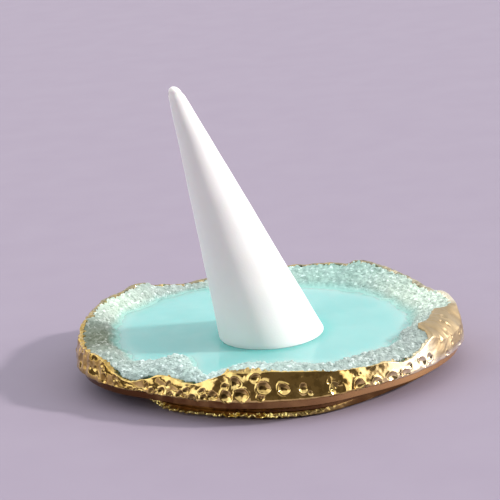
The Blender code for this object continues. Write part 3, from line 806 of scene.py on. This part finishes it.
# How large the crystals are every 15 degrees, as a share of the sizes above
CRYSTAL_SIZE_SHARES = (
    1.00, 1.00, 0.95, 0.80, 0.65, 0.60, 0.65, 0.80, 0.95, 1.00, 1.00, 0.95,
    0.90, 1.00, 1.15, 1.20, 1.15, 1.05, 1.00, 0.95, 1.00, 1.00, 1.00, 1.00,
)


def crystal_template():
    """Points and triangles of one crystal of unit width: foot ring, shoulder ring and an off-centre tip."""
    turn = np.arange(CRYSTAL_SIDES) * 2 * np.pi / CRYSTAL_SIDES
    ring = np.stack([0.5 * np.cos(turn), 0.5 * np.sin(turn)], axis=1)
    foot = np.column_stack([FOOT_RING_SHARE * ring, np.full(CRYSTAL_SIDES, RING_HEIGHTS[0])])
    shoulder = np.column_stack([ring, np.full(CRYSTAL_SIDES, RING_HEIGHTS[1])])
    first = np.arange(CRYSTAL_SIDES)
    second = np.roll(first, -1)
    above, next_above = first + CRYSTAL_SIDES, second + CRYSTAL_SIDES
    side = np.stack([first, second, next_above, first, next_above, above]).T.reshape(-1, 3)
    cap = np.stack([above, next_above, np.full(CRYSTAL_SIDES, 2 * CRYSTAL_SIDES)], axis=1)
    base = np.stack([np.zeros(CRYSTAL_SIDES - 2, int), second[1:-1], first[1:-1]], axis=1)
    return np.vstack([foot, shoulder, [TIP]]), np.vstack([side, cap, base])


def frames_on(normal, random):
    """A frame for each unit normal: two cross vectors at a random turn about it, and the normal itself."""
    helper = np.where(np.abs(normal[:, :1]) < 0.9, [[1.0, 0.0, 0.0]], [[0.0, 1.0, 0.0]])
    first = unit(np.cross(normal, helper))
    second = np.cross(normal, first)
    turn = random.uniform(0.0, 2 * np.pi, (len(normal), 1))
    along = np.cos(turn) * first + np.sin(turn) * second
    return np.stack([along, np.cross(normal, along), normal], axis=-1)


def grown_places(start, end, random):
    """Random angles and shares in one cluster, drawn evenly over the bed's area."""
    angle = np.arange(start, end, BED_STEP_ANGLE)[:, None]
    share = (np.arange(BED_ROWS)[None, :] + 0.5) / BED_ROWS
    cells = bed_point(angle, share)
    area = np.linalg.norm(np.cross(np.gradient(cells, axis=0), np.gradient(cells, axis=1)), axis=-1)
    area = area * rising(LEFT_AT_FOOT, ramp((1 - share) / SPARSE_SHARE))
    count = int(area.sum() / CRYSTAL_GAP**2)
    cell = random.choice(area.size, count, p=(area / area.sum()).ravel())
    row, column = np.unravel_index(cell, area.shape)
    angle = start + (row + random.random(count)) * BED_STEP_ANGLE
    return angle, (column + random.random(count)) / BED_ROWS


def bed_normals(angle, share):
    """Unit normals of the bed: the cross product of a small step round it and one across it."""
    turn, step = NORMAL_STEPS
    round_step = bed_point(angle + turn, share) - bed_point(angle - turn, share)
    cross_step = bed_point(angle, share + step) - bed_point(angle, share - step)
    normal = np.cross(cross_step, round_step)
    return unit(normal * np.sign(normal[:, 2:]))


def crystals(start, end, random):
    """Points and triangles of every crystal in one cluster."""
    angle, share = grown_places(start, end, random)
    count = len(angle)
    place = bed_point(angle, share)
    normal = bed_normals(angle, share) + CRYSTAL_LEAN * random.normal(size=(count, 3))
    normal[:, 2] = np.maximum(normal[:, 2], LEAST_UPWARD)
    size = wave(CRYSTAL_SIZE_SHARES, angle) * rising(LEFT_AT_FOOT, ramp((1 - share) / SMALL_SHARE))
    width = size * random.uniform(*CRYSTAL_WIDTHS, count)
    length = width * random.uniform(*CRYSTAL_LENGTH_SHARES, count)
    squash = width * random.uniform(*CRYSTAL_SQUASH, count)
    template, triangles = crystal_template()
    scaled = template[None] * np.stack([width, squash, length], axis=1)[:, None]
    points = place[:, None] + np.einsum("nij,nkj->nki", frames_on(unit(normal), random), scaled)
    faces = triangles[None] + len(template) * np.arange(count)[:, None, None]
    each = len(template)
    return points.reshape(-1, 3), faces.reshape(-1, 3), np.repeat(angle, each), np.repeat(share, each)


# %% Grow the ten clusters
CRUST_COLOUR = (0.38, 0.45, 0.43)
FROSTED = (0.62, 0.74, 0.65)
PAINTED_SHADOW = (0.20, 0.23, 0.17)
MILKY = (0.47, 0.60, 0.58)
# Patches of another colour: each one's middle in degrees, its reach in degrees and its colour
CRUST_PATCHES = (
    (60.0, 40.0, (0.34, 0.52, 0.48)), (12.0, 24.0, FROSTED), (248.0, 40.0, MILKY), (150.0, 14.0, FROSTED),
    # The dusky patch at the left is a painted shadow, where the cone's shade falls across the crust
    (184.0, 18.0, PAINTED_SHADOW),
)
MELT_START = 0.62
HAZE_REACH = 2.5


def enclosed(points, faces):
    """Volume inside closed faces, from triple products of their corners: positive if they face outwards."""
    first, second, third = (points[faces[:, corner]] for corner in range(3))
    volume = np.einsum("ij,ij->i", first, np.cross(second, third)).sum()
    if faces.shape[1] == 4:
        volume += np.einsum("ij,ij->i", first, np.cross(third, points[faces[:, 3]])).sum()
    return volume / 6


def crust_tint(angle):
    """Colour of the crust: the plain one, with each patch laid over it by a bell curve round its middle."""
    tint = np.tile(CRUST_COLOUR, (len(angle), 1))
    for middle, reach, colour in CRUST_PATCHES:
        share = bell(turn_between(angle, middle), reach)[:, None]
        tint = tint * (1 - share) + np.array(colour) * share
    return tint


def grow(name, start, end, random):
    """One cluster: its smooth bed, closed at both ends, and its flat-faced crystals, as one mesh."""
    loops, loop_angle, loop_share = bed_loops(start, end)
    rows, columns = loops.shape[:2]
    bed = loops.reshape(-1, 3)
    sides = grid_faces(rows, columns)
    caps = np.stack([np.arange(columns)[::-1], np.arange(columns) + (rows - 1) * columns])
    if enclosed(bed, sides) < 0:
        sides, caps = sides[:, ::-1], caps[:, ::-1]
    grains, grain_faces, grain_angle, grain_share = crystals(start, end, random)
    if enclosed(grains, grain_faces) < 0:
        grain_faces = grain_faces[:, ::-1]
    points = keep_in_box(np.vstack([bed, grains]))
    mesh = new_mesh(f"{name}_crystals", points, sides, caps, grain_faces + len(bed))
    mesh.polygons.foreach_set("use_smooth", np.arange(len(mesh.polygons)) < len(sides))
    mesh.set_sharp_from_angle(angle=math.radians(SMOOTH_ANGLE))
    angle = np.concatenate([loop_angle.ravel(), grain_angle])
    share = np.concatenate([loop_share.ravel(), grain_share])
    tint = np.column_stack([crust_tint(angle), np.ones_like(angle)])
    layer = mesh.attributes.new("tint", "FLOAT_COLOR", "POINT")
    layer.data.foreach_set("color", tint.astype(np.float32).ravel())
    paint_values(mesh, "melt", ramp((share - MELT_START) / (1 - MELT_START)))
    return add_piece(f"{name}_crystals", mesh, "druzy", name)


places = np.empty(3 * len(slab.data.vertices), np.float32)
slab.data.vertices.foreach_get("co", places)
from_centre = places.reshape(-1, 3)[:, :2] / MM - slice_centre
turns = np.degrees(np.arctan2(from_centre[:, 1], from_centre[:, 0]))
gap = np.maximum(TRAY_RADIUS * wave(CRUST_EDGE_SHARES, turns) - np.linalg.norm(from_centre, axis=1), 0.0)
paint_values(slab.data, "near_crust", bell(gap, HAZE_REACH))
random = np.random.default_rng(CRYSTAL_SEED)
druzy = [grow(name, start, end, random) for name, (start, end) in CLUSTERS.items()]

# %% [markdown]
# ## The ring cone
#
# The cone is fine matt white ware, cast and rubbed smooth. It leans, but its foot stays round and flat on
# the plate, so it isn't a turned cone tilted over: it is a turned cone sheared sideways. Its skin is the
# radius at each level, carried round, with each level's circle moved a little further to the left. A wobble
# of a few hundredths of a millimetre keeps its sides from looking machined.

# %% Cone
CONE_HEIGHT = 62.2
CONE_TIP_RADIUS = 1.5
CONE_LEAN = 18.2
CONE_FOOT_ROUND = 0.35
CONE_COLUMNS = 160
TIP_ROWS = 14
SIDE_ROWS = 90
FOOT_ROWS = 6
WOBBLE = 0.03
WOBBLE_LENGTH = 9.0


def cone_profile():
    """Radius and depth below the tip: a quarter circle, a straight taper and a small quarter circle."""
    turn = np.linspace(0.0, 0.5 * np.pi, TIP_ROWS)
    tip = np.stack([CONE_TIP_RADIUS * np.sin(turn), CONE_TIP_RADIUS * (1 - np.cos(turn))])
    bottom = top_height - PLATE_HEIGHT
    depth = np.linspace(CONE_TIP_RADIUS, bottom - CONE_FOOT_ROUND, SIDE_ROWS)[1:]
    side = np.stack([CONE_TIP_RADIUS + (CONE_BASE_RADIUS - CONE_TIP_RADIUS) * depth / CONE_HEIGHT, depth])
    side[0] = np.minimum(side[0], CONE_BASE_RADIUS)
    turn = np.linspace(0.0, 0.5 * np.pi, FOOT_ROWS)[1:]
    foot_radius = CONE_BASE_RADIUS - CONE_FOOT_ROUND * (1 - np.cos(turn))
    foot = np.stack([foot_radius, bottom - CONE_FOOT_ROUND * (1 - np.sin(turn))])
    return np.hstack([tip, side, foot, [[0.0], [bottom]]])


top_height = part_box("ring_cone")[1][2] / MM
radius, depth = cone_profile()
turn = np.arange(CONE_COLUMNS) * 2 * np.pi / CONE_COLUMNS
height = top_height - depth
middle_x = slice_centre[0] + CONE_CENTRE[0] - CONE_LEAN * (CONE_HEIGHT - depth) / CONE_HEIGHT
middle_y = slice_centre[1] + CONE_CENTRE[1]
x = middle_x[:, None] + radius[:, None] * np.cos(turn)
y = middle_y + radius[:, None] * np.sin(turn)
points = np.stack(np.broadcast_arrays(x, y, height[:, None]), axis=-1)
wobble = WOBBLE * ripples(points, WOBBLE_LENGTH, 61) * np.minimum(radius / CONE_TIP_RADIUS, 1.0)[:, None]
points[..., 0] += wobble * np.cos(turn)
points[..., 1] += wobble * np.sin(turn)
cone = add_skin("white_cone", keep_in_box(points), "white_ceramic", "ring_cone")

# %% [markdown]
# ## Finishes as sums
#
# Shader nodes are easiest to read as the formula that they stand for. The class Wire below wraps one output
# of a node and lends it the signs +, - and *, so that an expression adds the Math nodes it needs. Every
# other node comes from one method, which takes the node's type, its settings and what goes into its
# sockets.

# %% Wires and paint
class Wire:
    """One output of a shader node. A sum, difference or product with it adds a Math node."""

    def __init__(self, paint, socket):
        self.paint = paint
        self.socket = socket

    def maths(self, operation, first, second):
        return self.paint.node("ShaderNodeMath", {"operation": operation}, {0: first, 1: second})

    def __add__(self, other):
        return self.maths("ADD", self, other)

    def __radd__(self, other):
        return self.maths("ADD", other, self)

    def __sub__(self, other):
        return self.maths("SUBTRACT", self, other)

    def __rsub__(self, other):
        return self.maths("SUBTRACT", other, self)

    def __mul__(self, other):
        return self.maths("MULTIPLY", self, other)

    def __rmul__(self, other):
        return self.maths("MULTIPLY", other, self)

    def smooth(self, low, high):
        """0 below low, 1 above high, and a smooth S between."""
        inputs = {"Value": self, "From Min": low, "From Max": high}
        return self.paint.node("ShaderNodeMapRange", {"interpolation_type": "SMOOTHSTEP"}, inputs)


class Paint:
    """A node tree that is filled in by expressions."""

    def __init__(self, tree):
        self.tree = tree

    def plug(self, socket, value):
        """Links a wire to a socket, or sets the socket to a number or a colour."""
        if isinstance(value, Wire):
            self.tree.links.new(value.socket, socket)
        elif isinstance(value, tuple) and len(value) == 3 and socket.type == "RGBA":
            socket.default_value = (*value, 1.0)
        else:
            socket.default_value = value

    def node(self, kind, settings=None, inputs=None, output=0):
        """Adds a node: its type, then its settings, then the values or wires of its sockets."""
        made = self.tree.nodes.new(kind)
        for key, value in (settings or {}).items():
            setattr(made, key, value)
        for key, value in (inputs or {}).items():
            self.plug(made.inputs[key], value)
        return Wire(self, made.outputs[output])

    def place(self):
        """Object coordinates, in metres."""
        return self.node("ShaderNodeTexCoord", output="Object")

    def axis(self, name, where=None):
        """One of the three parts of a vector, which is the place unless another is given."""
        return self.node("ShaderNodeSeparateXYZ", None, {0: where or self.place()}, name)

    def vector(self, operation, *values):
        """A vector sum or product of wires or of triples."""
        return self.node("ShaderNodeVectorMath", {"operation": operation}, dict(enumerate(values)))

    def noise(self, scale, detail, roughness=0.5):
        """Soft noise from 0 to 1, scale being how many times it changes in a metre."""
        inputs = {"Vector": self.place(), "Scale": scale, "Detail": detail, "Roughness": roughness}
        return self.node("ShaderNodeTexNoise", None, inputs, "Fac")

    def mix(self, share, first, second):
        """A colour that goes from first to second as share goes from 0 to 1."""
        inputs = {"Factor": share, 6: first, 7: second}
        return self.node("ShaderNodeMix", {"data_type": "RGBA"}, inputs, 2)

    def bump(self, height, distance, strength):
        """A normal tilted by a height map, distance being the height in metres of one unit of it."""
        inputs = {"Height": height, "Distance": distance, "Strength": strength}
        return self.node("ShaderNodeBump", None, inputs, "Normal")

    def value(self, name):
        """A number that the mesh carries at each point."""
        return self.node("ShaderNodeAttribute", {"attribute_name": name}, None, "Fac")


def finish(name, constants, recipe, *pieces):
    """Gives pieces a material: constants on the shader's own sockets, the recipe's wires where they vary."""
    material = bpy.data.materials.new(name)
    material.use_nodes = True
    shader = material.node_tree.nodes["Principled BSDF"]
    paint = Paint(material.node_tree)
    for key, value in constants.items():
        paint.plug(shader.inputs[key], value)
    for key, wire in recipe(paint).items():
        paint.plug(shader.inputs[key], wire)
    for piece in pieces:
        piece.data.materials.clear()
        piece.data.materials.append(material)
    print("finish:", material.name, "pieces:", len(pieces))


# %% [markdown]
# ## Gilt
#
# The gilding is a mirror, so most of its look comes from what is round it. What belongs to the metal itself
# is small: it is stained in small patches, dull on the broad patch and rubbed at the back. Over that lies
# painted light: painted shade under the upper edge of each mark, painted shade mixed with the stains that
# makes the left end browner, and a painted sunlit sheen that makes the right end paler. Under the crease the
# coppery brown is a painted reflection of the floor, darker towards the left and towards the foot as painted
# shade, and the bead at the foot is bare bright metal.

# %% Bright gilt for the rim
def gilt_recipe(paint):
    mottle = paint.noise(260.0, 4.0)
    grain = paint.noise(2600.0, 2.0)
    light = paint.mix(mottle.smooth(0.35, 0.7), (0.82, 0.57, 0.20), (0.94, 0.69, 0.27))
    stain = paint.noise(560.0, 4.0).smooth(0.46, 0.62)
    aged = paint.mix(stain * 0.6, light, (0.42, 0.29, 0.09))
    # The right end, which faces the sun, is made paler: a painted sunlit sheen
    pale = paint.axis("X").smooth(0.016, 0.044)
    # Painted shade under the upper edge of each mark, weaker at the right end
    bowl = paint.mix(paint.value("painted_mark_shade") * (0.85 - 0.75 * pale), aged, (0.09, 0.055, 0.015))
    with_painted_sheen = paint.mix(pale * 0.95, bowl, (0.97, 0.87, 0.68))
    # The left end, away from the sun, is made browner: painted shade, mixed with the stains
    brown = paint.axis("X").smooth(-0.044, -0.020)
    deep = paint.mix((1 - brown) * (0.5 + stain * 0.45), with_painted_sheen, (0.46, 0.29, 0.07))
    dull = paint.value("dull")
    patch = paint.mix(dull * (0.7 + mottle * 0.3), deep, (0.37, 0.255, 0.125))
    rubbed = paint.noise(420.0, 3.0).smooth(0.38, 0.58)
    colour = paint.mix(paint.value("worn") * (0.45 + rubbed * 0.5), patch, (0.36, 0.32, 0.22))
    relief = mottle * 0.6 + grain * 0.4
    return {
        "Base Color": colour,
        "Roughness": 0.06 + mottle * 0.08 + pale * 0.10 + dull * 0.26,
        "Normal": paint.bump(relief, 0.00008, 0.4),
    }


finish("bright_gilt", {"Metallic": 1.0}, gilt_recipe, rim)


# %% Gilt for the skirt, with painted reflection and painted shade
def cove_recipe(paint):
    mottle = paint.noise(160.0, 4.0)
    grain = paint.noise(3000.0, 2.0)
    # The coppery brown is a painted reflection of the floor, darker at the left and towards the foot as
    # painted shade
    side = paint.axis("X").smooth(-0.012, 0.034)
    height = paint.axis("Z").smooth(0.0012, 0.0040)
    bare = paint.mix(side * (0.12 + 0.88 * height), (0.13, 0.055, 0.022), (0.76, 0.44, 0.19))
    thin = paint.mix(mottle.smooth(0.45, 0.8) * 0.5, bare, (0.70, 0.42, 0.16))
    colour = paint.mix(paint.value("bead"), thin, (1.0, 0.82, 0.29))
    return {
        "Base Color": colour,
        "Roughness": 0.16 + mottle * 0.14,
        "Normal": paint.bump(mottle * 0.5 + grain * 0.5, 0.0001, 0.4),
    }


finish("cove_gilt_painted_shade", {"Metallic": 1.0}, cove_recipe, skirt)

# %% [markdown]
# ## Aqua resin
#
# The resin is tinted, a little milky and polished. Light goes in a few millimetres and comes out softened,
# which is what subsurface scattering stands for. Its tint isn't even: faint veils run through it, as they do
# when pigment is stirred in. It turns hazy towards the crust, and round the cone's foot it is a deeper teal
# that is painted contact shade.

# %% Aqua resin
def aqua_recipe(paint):
    veil = paint.noise(45.0, 3.0, 0.45)
    cloud = paint.noise(120.0, 2.0)
    tint = paint.mix(veil.smooth(0.3, 0.7), (0.197, 0.513, 0.50), (0.26, 0.568, 0.554))
    cloudy = paint.mix(cloud.smooth(0.45, 0.8) * 0.3, tint, (0.31, 0.61, 0.585))
    hazy = paint.mix(paint.value("near_crust") * (0.25 + veil * 0.4), cloudy, (0.42, 0.66, 0.62))
    # Deeper teal round the cone's foot: painted contact shade
    colour = paint.mix(paint.value("near_cone") * 0.7, hazy, (0.10, 0.50, 0.475))
    return {"Base Color": colour, "Roughness": 0.06 + cloud * 0.05}


milky = {"Subsurface Weight": 0.8, "Subsurface Radius": (1.0, 3.5, 3.5), "Subsurface Scale": 0.001}
finish("aqua_resin", {"IOR": 1.35, **milky}, aqua_recipe, slab)

# %% [markdown]
# ## Druzy
#
# The crystals are clear quartz over the same aqua, so the crust looks mint in its depth and white on its
# points. A glass shader would be honest but slow and dark at this size. Instead the grains are pale, a faint
# painted glow of their own colour stands for the light that wanders through clear resin, and here and there
# a grain is whiter and better polished than the rest, partly a whiter chip and partly a painted glint, as a
# facet that catches the sun. Clear resin over the grains also evens out their light and shade, so every
# facet is lit as if it were turned more than halfway upwards. The crust has one plain colour and a few broad
# patches that are frosted, milky or greener, and a dusky one at the left that is painted shadow. Where it
# thins into the plate its darker green is partly painted shade.

# %% Druzy
UPWARD_SHARE = 0.6


def druzy_recipe(paint):
    grains = {"Vector": paint.place(), "Scale": 1500.0}
    cells = paint.node("ShaderNodeTexVoronoi", None, grains, "Color")
    bright = paint.node("ShaderNodeSeparateColor", None, {0: cells}).smooth(0.80, 0.95)
    patch = paint.noise(240.0, 2.0).smooth(0.35, 0.7)
    tint = paint.node("ShaderNodeAttribute", {"attribute_name": "tint"}, None, "Color")
    shade = paint.mix(patch, (0.82, 0.85, 0.82), (0.93, 0.92, 0.91))
    crust = paint.vector("MULTIPLY", tint, shade)
    # Bright grains: whiter chips, and partly painted glints where a facet would catch the sun
    polished = paint.vector("MULTIPLY_ADD", tint, (1.2, 1.2, 1.2), (0.25, 0.25, 0.25))
    frosted = paint.mix(bright * 0.65, crust, polished)
    # Towards the plate the crust turns to a darker resin green, partly painted shade
    colour = paint.mix(paint.value("melt") * 0.8, frosted, (0.22, 0.48, 0.44))
    facet = paint.node("ShaderNodeNewGeometry", None, None, "Normal")
    tilted = paint.vector("MULTIPLY_ADD", facet, (1 - UPWARD_SHARE,) * 3, (0.0, 0.0, UPWARD_SHARE))
    return {
        "Base Color": colour,
        "Emission Color": colour,
        "Roughness": 0.10 + (1 - bright) * 0.45,
        "Normal": paint.vector("NORMALIZE", tilted),
    }


# The emission is a painted glow of the crust's own colour, for light scattered through clear resin
finish("druzy", {"IOR": 1.38, "Emission Strength": 0.32}, druzy_recipe, *druzy)


# %% White ware, clear bond and clear rubber
def ware_recipe(paint):
    cloud = paint.noise(90.0, 3.0)
    grain = paint.noise(2200.0, 3.0)
    colour = paint.mix(cloud.smooth(0.3, 0.7), (0.905, 0.905, 0.895), (0.935, 0.935, 0.93))
    return {
        "Base Color": colour,
        "Roughness": 0.50 + cloud * 0.12,
        "Normal": paint.bump(grain, 0.00006, 0.3),
    }


def clear_recipe(paint):
    cloud = paint.noise(300.0, 3.0)
    return {
        "Base Color": paint.mix(cloud, (0.72, 0.75, 0.74), (0.86, 0.88, 0.87)),
        "Roughness": 0.25 + cloud * 0.2,
    }


finish("white_ware", {"IOR": 1.5, "Subsurface Weight": 0.1, "Subsurface Scale": 0.001}, ware_recipe, cone)
hidden = [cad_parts[node] for node in ("cone_bond", "bumper_1", "bumper_2", "bumper_3", "bumper_4")]
finish("clear_soft", {"IOR": 1.45, "Transmission Weight": 0.6}, clear_recipe, *hidden)

# %% [markdown]
# ## Floor, light and camera
#
# The dish stands on a plain pale sheet in soft light. A low sun from the right throws the cone's shade to
# the left across the plate. A bright ceiling, a bright back and a window at each side fill it. The room in
# front is dim, which is what gives a mirror finish its dark strokes. The camera is placed by the ellipse of
# the cone's foot: its roll, its height and its distance are the ones at which that circle looks as it does
# in the photograph.

# %% Floor
FLOOR_HALF = 2.0
floor_mesh = bpy.data.meshes.new("floor")
corners = [(x * FLOOR_HALF, y * FLOOR_HALF, 0) for x, y in ((-1, -1), (1, -1), (1, 1), (-1, 1))]
floor_mesh.from_pydata(corners, [], [(0, 1, 2, 3)])
floor = link_new("floor", floor_mesh)
floor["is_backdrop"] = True


def sheet_recipe(paint):
    fibre = paint.noise(60.0, 4.0)
    return {"Base Color": paint.mix(fibre, (0.315, 0.265, 0.35), (0.345, 0.295, 0.38))}


finish("pale_sheet", {"Roughness": 0.75}, sheet_recipe, floor)

# %% Sun and sky
SUN_FROM_ANGLE = -6.0
SUN_RISE = 27.0
SUN_STRENGTH = 2.7
SUN_WIDTH = 5.0
FRONT_ANGLES = (226.0, 323.0)
LEFT_ANGLES = (98.0, 232.0)
LEFT_WINDOW = (110.0, 224.0)
RIGHT_WINDOW = (321.0, 385.0)
# What the dim wall takes from the world's brightness, and what the windows add
DIM_LOSS = 0.88
LEFT_GAIN = 0.6
RIGHT_GAIN = 1.0

sun_data = bpy.data.lights.new("sun", "SUN")
sun_data.energy = SUN_STRENGTH
sun_data.angle = math.radians(SUN_WIDTH)
sun_data.color = (1.0, 0.95, 0.90)
sun = link_new("sun", sun_data)
rise, way = math.radians(SUN_RISE), math.radians(SUN_FROM_ANGLE)
towards = Vector((math.cos(rise) * math.cos(way), math.cos(rise) * math.sin(way), math.sin(rise)))
sun.rotation_euler = towards.to_track_quat("Z", "Y").to_euler()

world = bpy.data.worlds.new("soft_room")
bpy.context.scene.world = world
world.use_nodes = True
sky = Paint(world.node_tree)
heading = sky.node("ShaderNodeTexCoord", output="Generated")
east, north, up = (sky.axis(name, heading) for name in "XYZ")


def past(limit, way):
    """Sine of the angle by which a heading lies past a limit: anticlockwise if way is 1, else clockwise."""
    angle = math.radians(limit)
    return north * (way * math.cos(angle)) - east * (way * math.sin(angle))


def between(first, last):
    """1 for a heading between two limits less than a half turn apart, 0 elsewhere, with a soft edge."""
    return past(first, 1).smooth(-0.10, 0.10) * past(last, -1).smooth(-0.16, 0.16)


ceiling = up.smooth(0.80, 0.88)
horizon = 1 - up.smooth(0.05, 0.08)
low = 1 - up.smooth(0.20, 0.32)
middle = 1 - up.smooth(0.70, 0.84)
left = between(*LEFT_WINDOW) * (1 - ceiling)
right = between(*RIGHT_WINDOW) * (1 - ceiling)
dim = (between(*FRONT_ANGLES) * middle + between(*LEFT_ANGLES) * low).smooth(0.0, 1.0) * (1 - 0.7 * horizon)
strength = 1.0 - DIM_LOSS * dim + LEFT_GAIN * left * (1 - dim) + RIGHT_GAIN * right
background = world.node_tree.nodes["Background"]
sky.plug(background.inputs["Color"], sky.mix(dim, (0.97, 0.985, 1.0), (1.0, 0.82, 0.66)))
sky.plug(background.inputs["Strength"], strength)
print("sun strength:", SUN_STRENGTH, "rise in degrees:", SUN_RISE)

# %% Camera
PICTURE_PIXELS = 500
FOCAL_PIXELS = 1851.4
SENSOR_WIDTH = 36.0
CAMERA_FROM_SLICE = (-2.37, -430.48, 154.91)
CAMERA_DIP = 16.30
CAMERA_ROLL = 4.9

camera_data = bpy.data.cameras.new("camera")
camera_data.sensor_width = SENSOR_WIDTH
camera_data.lens = FOCAL_PIXELS / PICTURE_PIXELS * SENSOR_WIDTH
camera = link_new("camera", camera_data)
spot = Vector(CAMERA_FROM_SLICE) + Vector((*slice_centre, 0.0))
tilt = Matrix.Rotation(math.radians(90.0 - CAMERA_DIP), 4, "X")
roll = Matrix.Rotation(math.radians(-CAMERA_ROLL), 4, "Z")
camera.matrix_world = Matrix.Translation(spot * MM) @ tilt @ roll
bpy.context.scene.camera = camera
bpy.context.scene.view_settings.view_transform = "Standard"
print("lens in mm:", round(camera_data.lens, 2))

# %% [markdown]
# ## Last step
#
# The skins are clipped to the solids' own box, and both boxes are printed for a look at the end. The skins
# may not reach past the solids' own box.

# %% Boxes and finish
low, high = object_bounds()
print("visual box in mm:", (np.array(low) / MM).round(2), "to", (np.array(high) / MM).round(2))
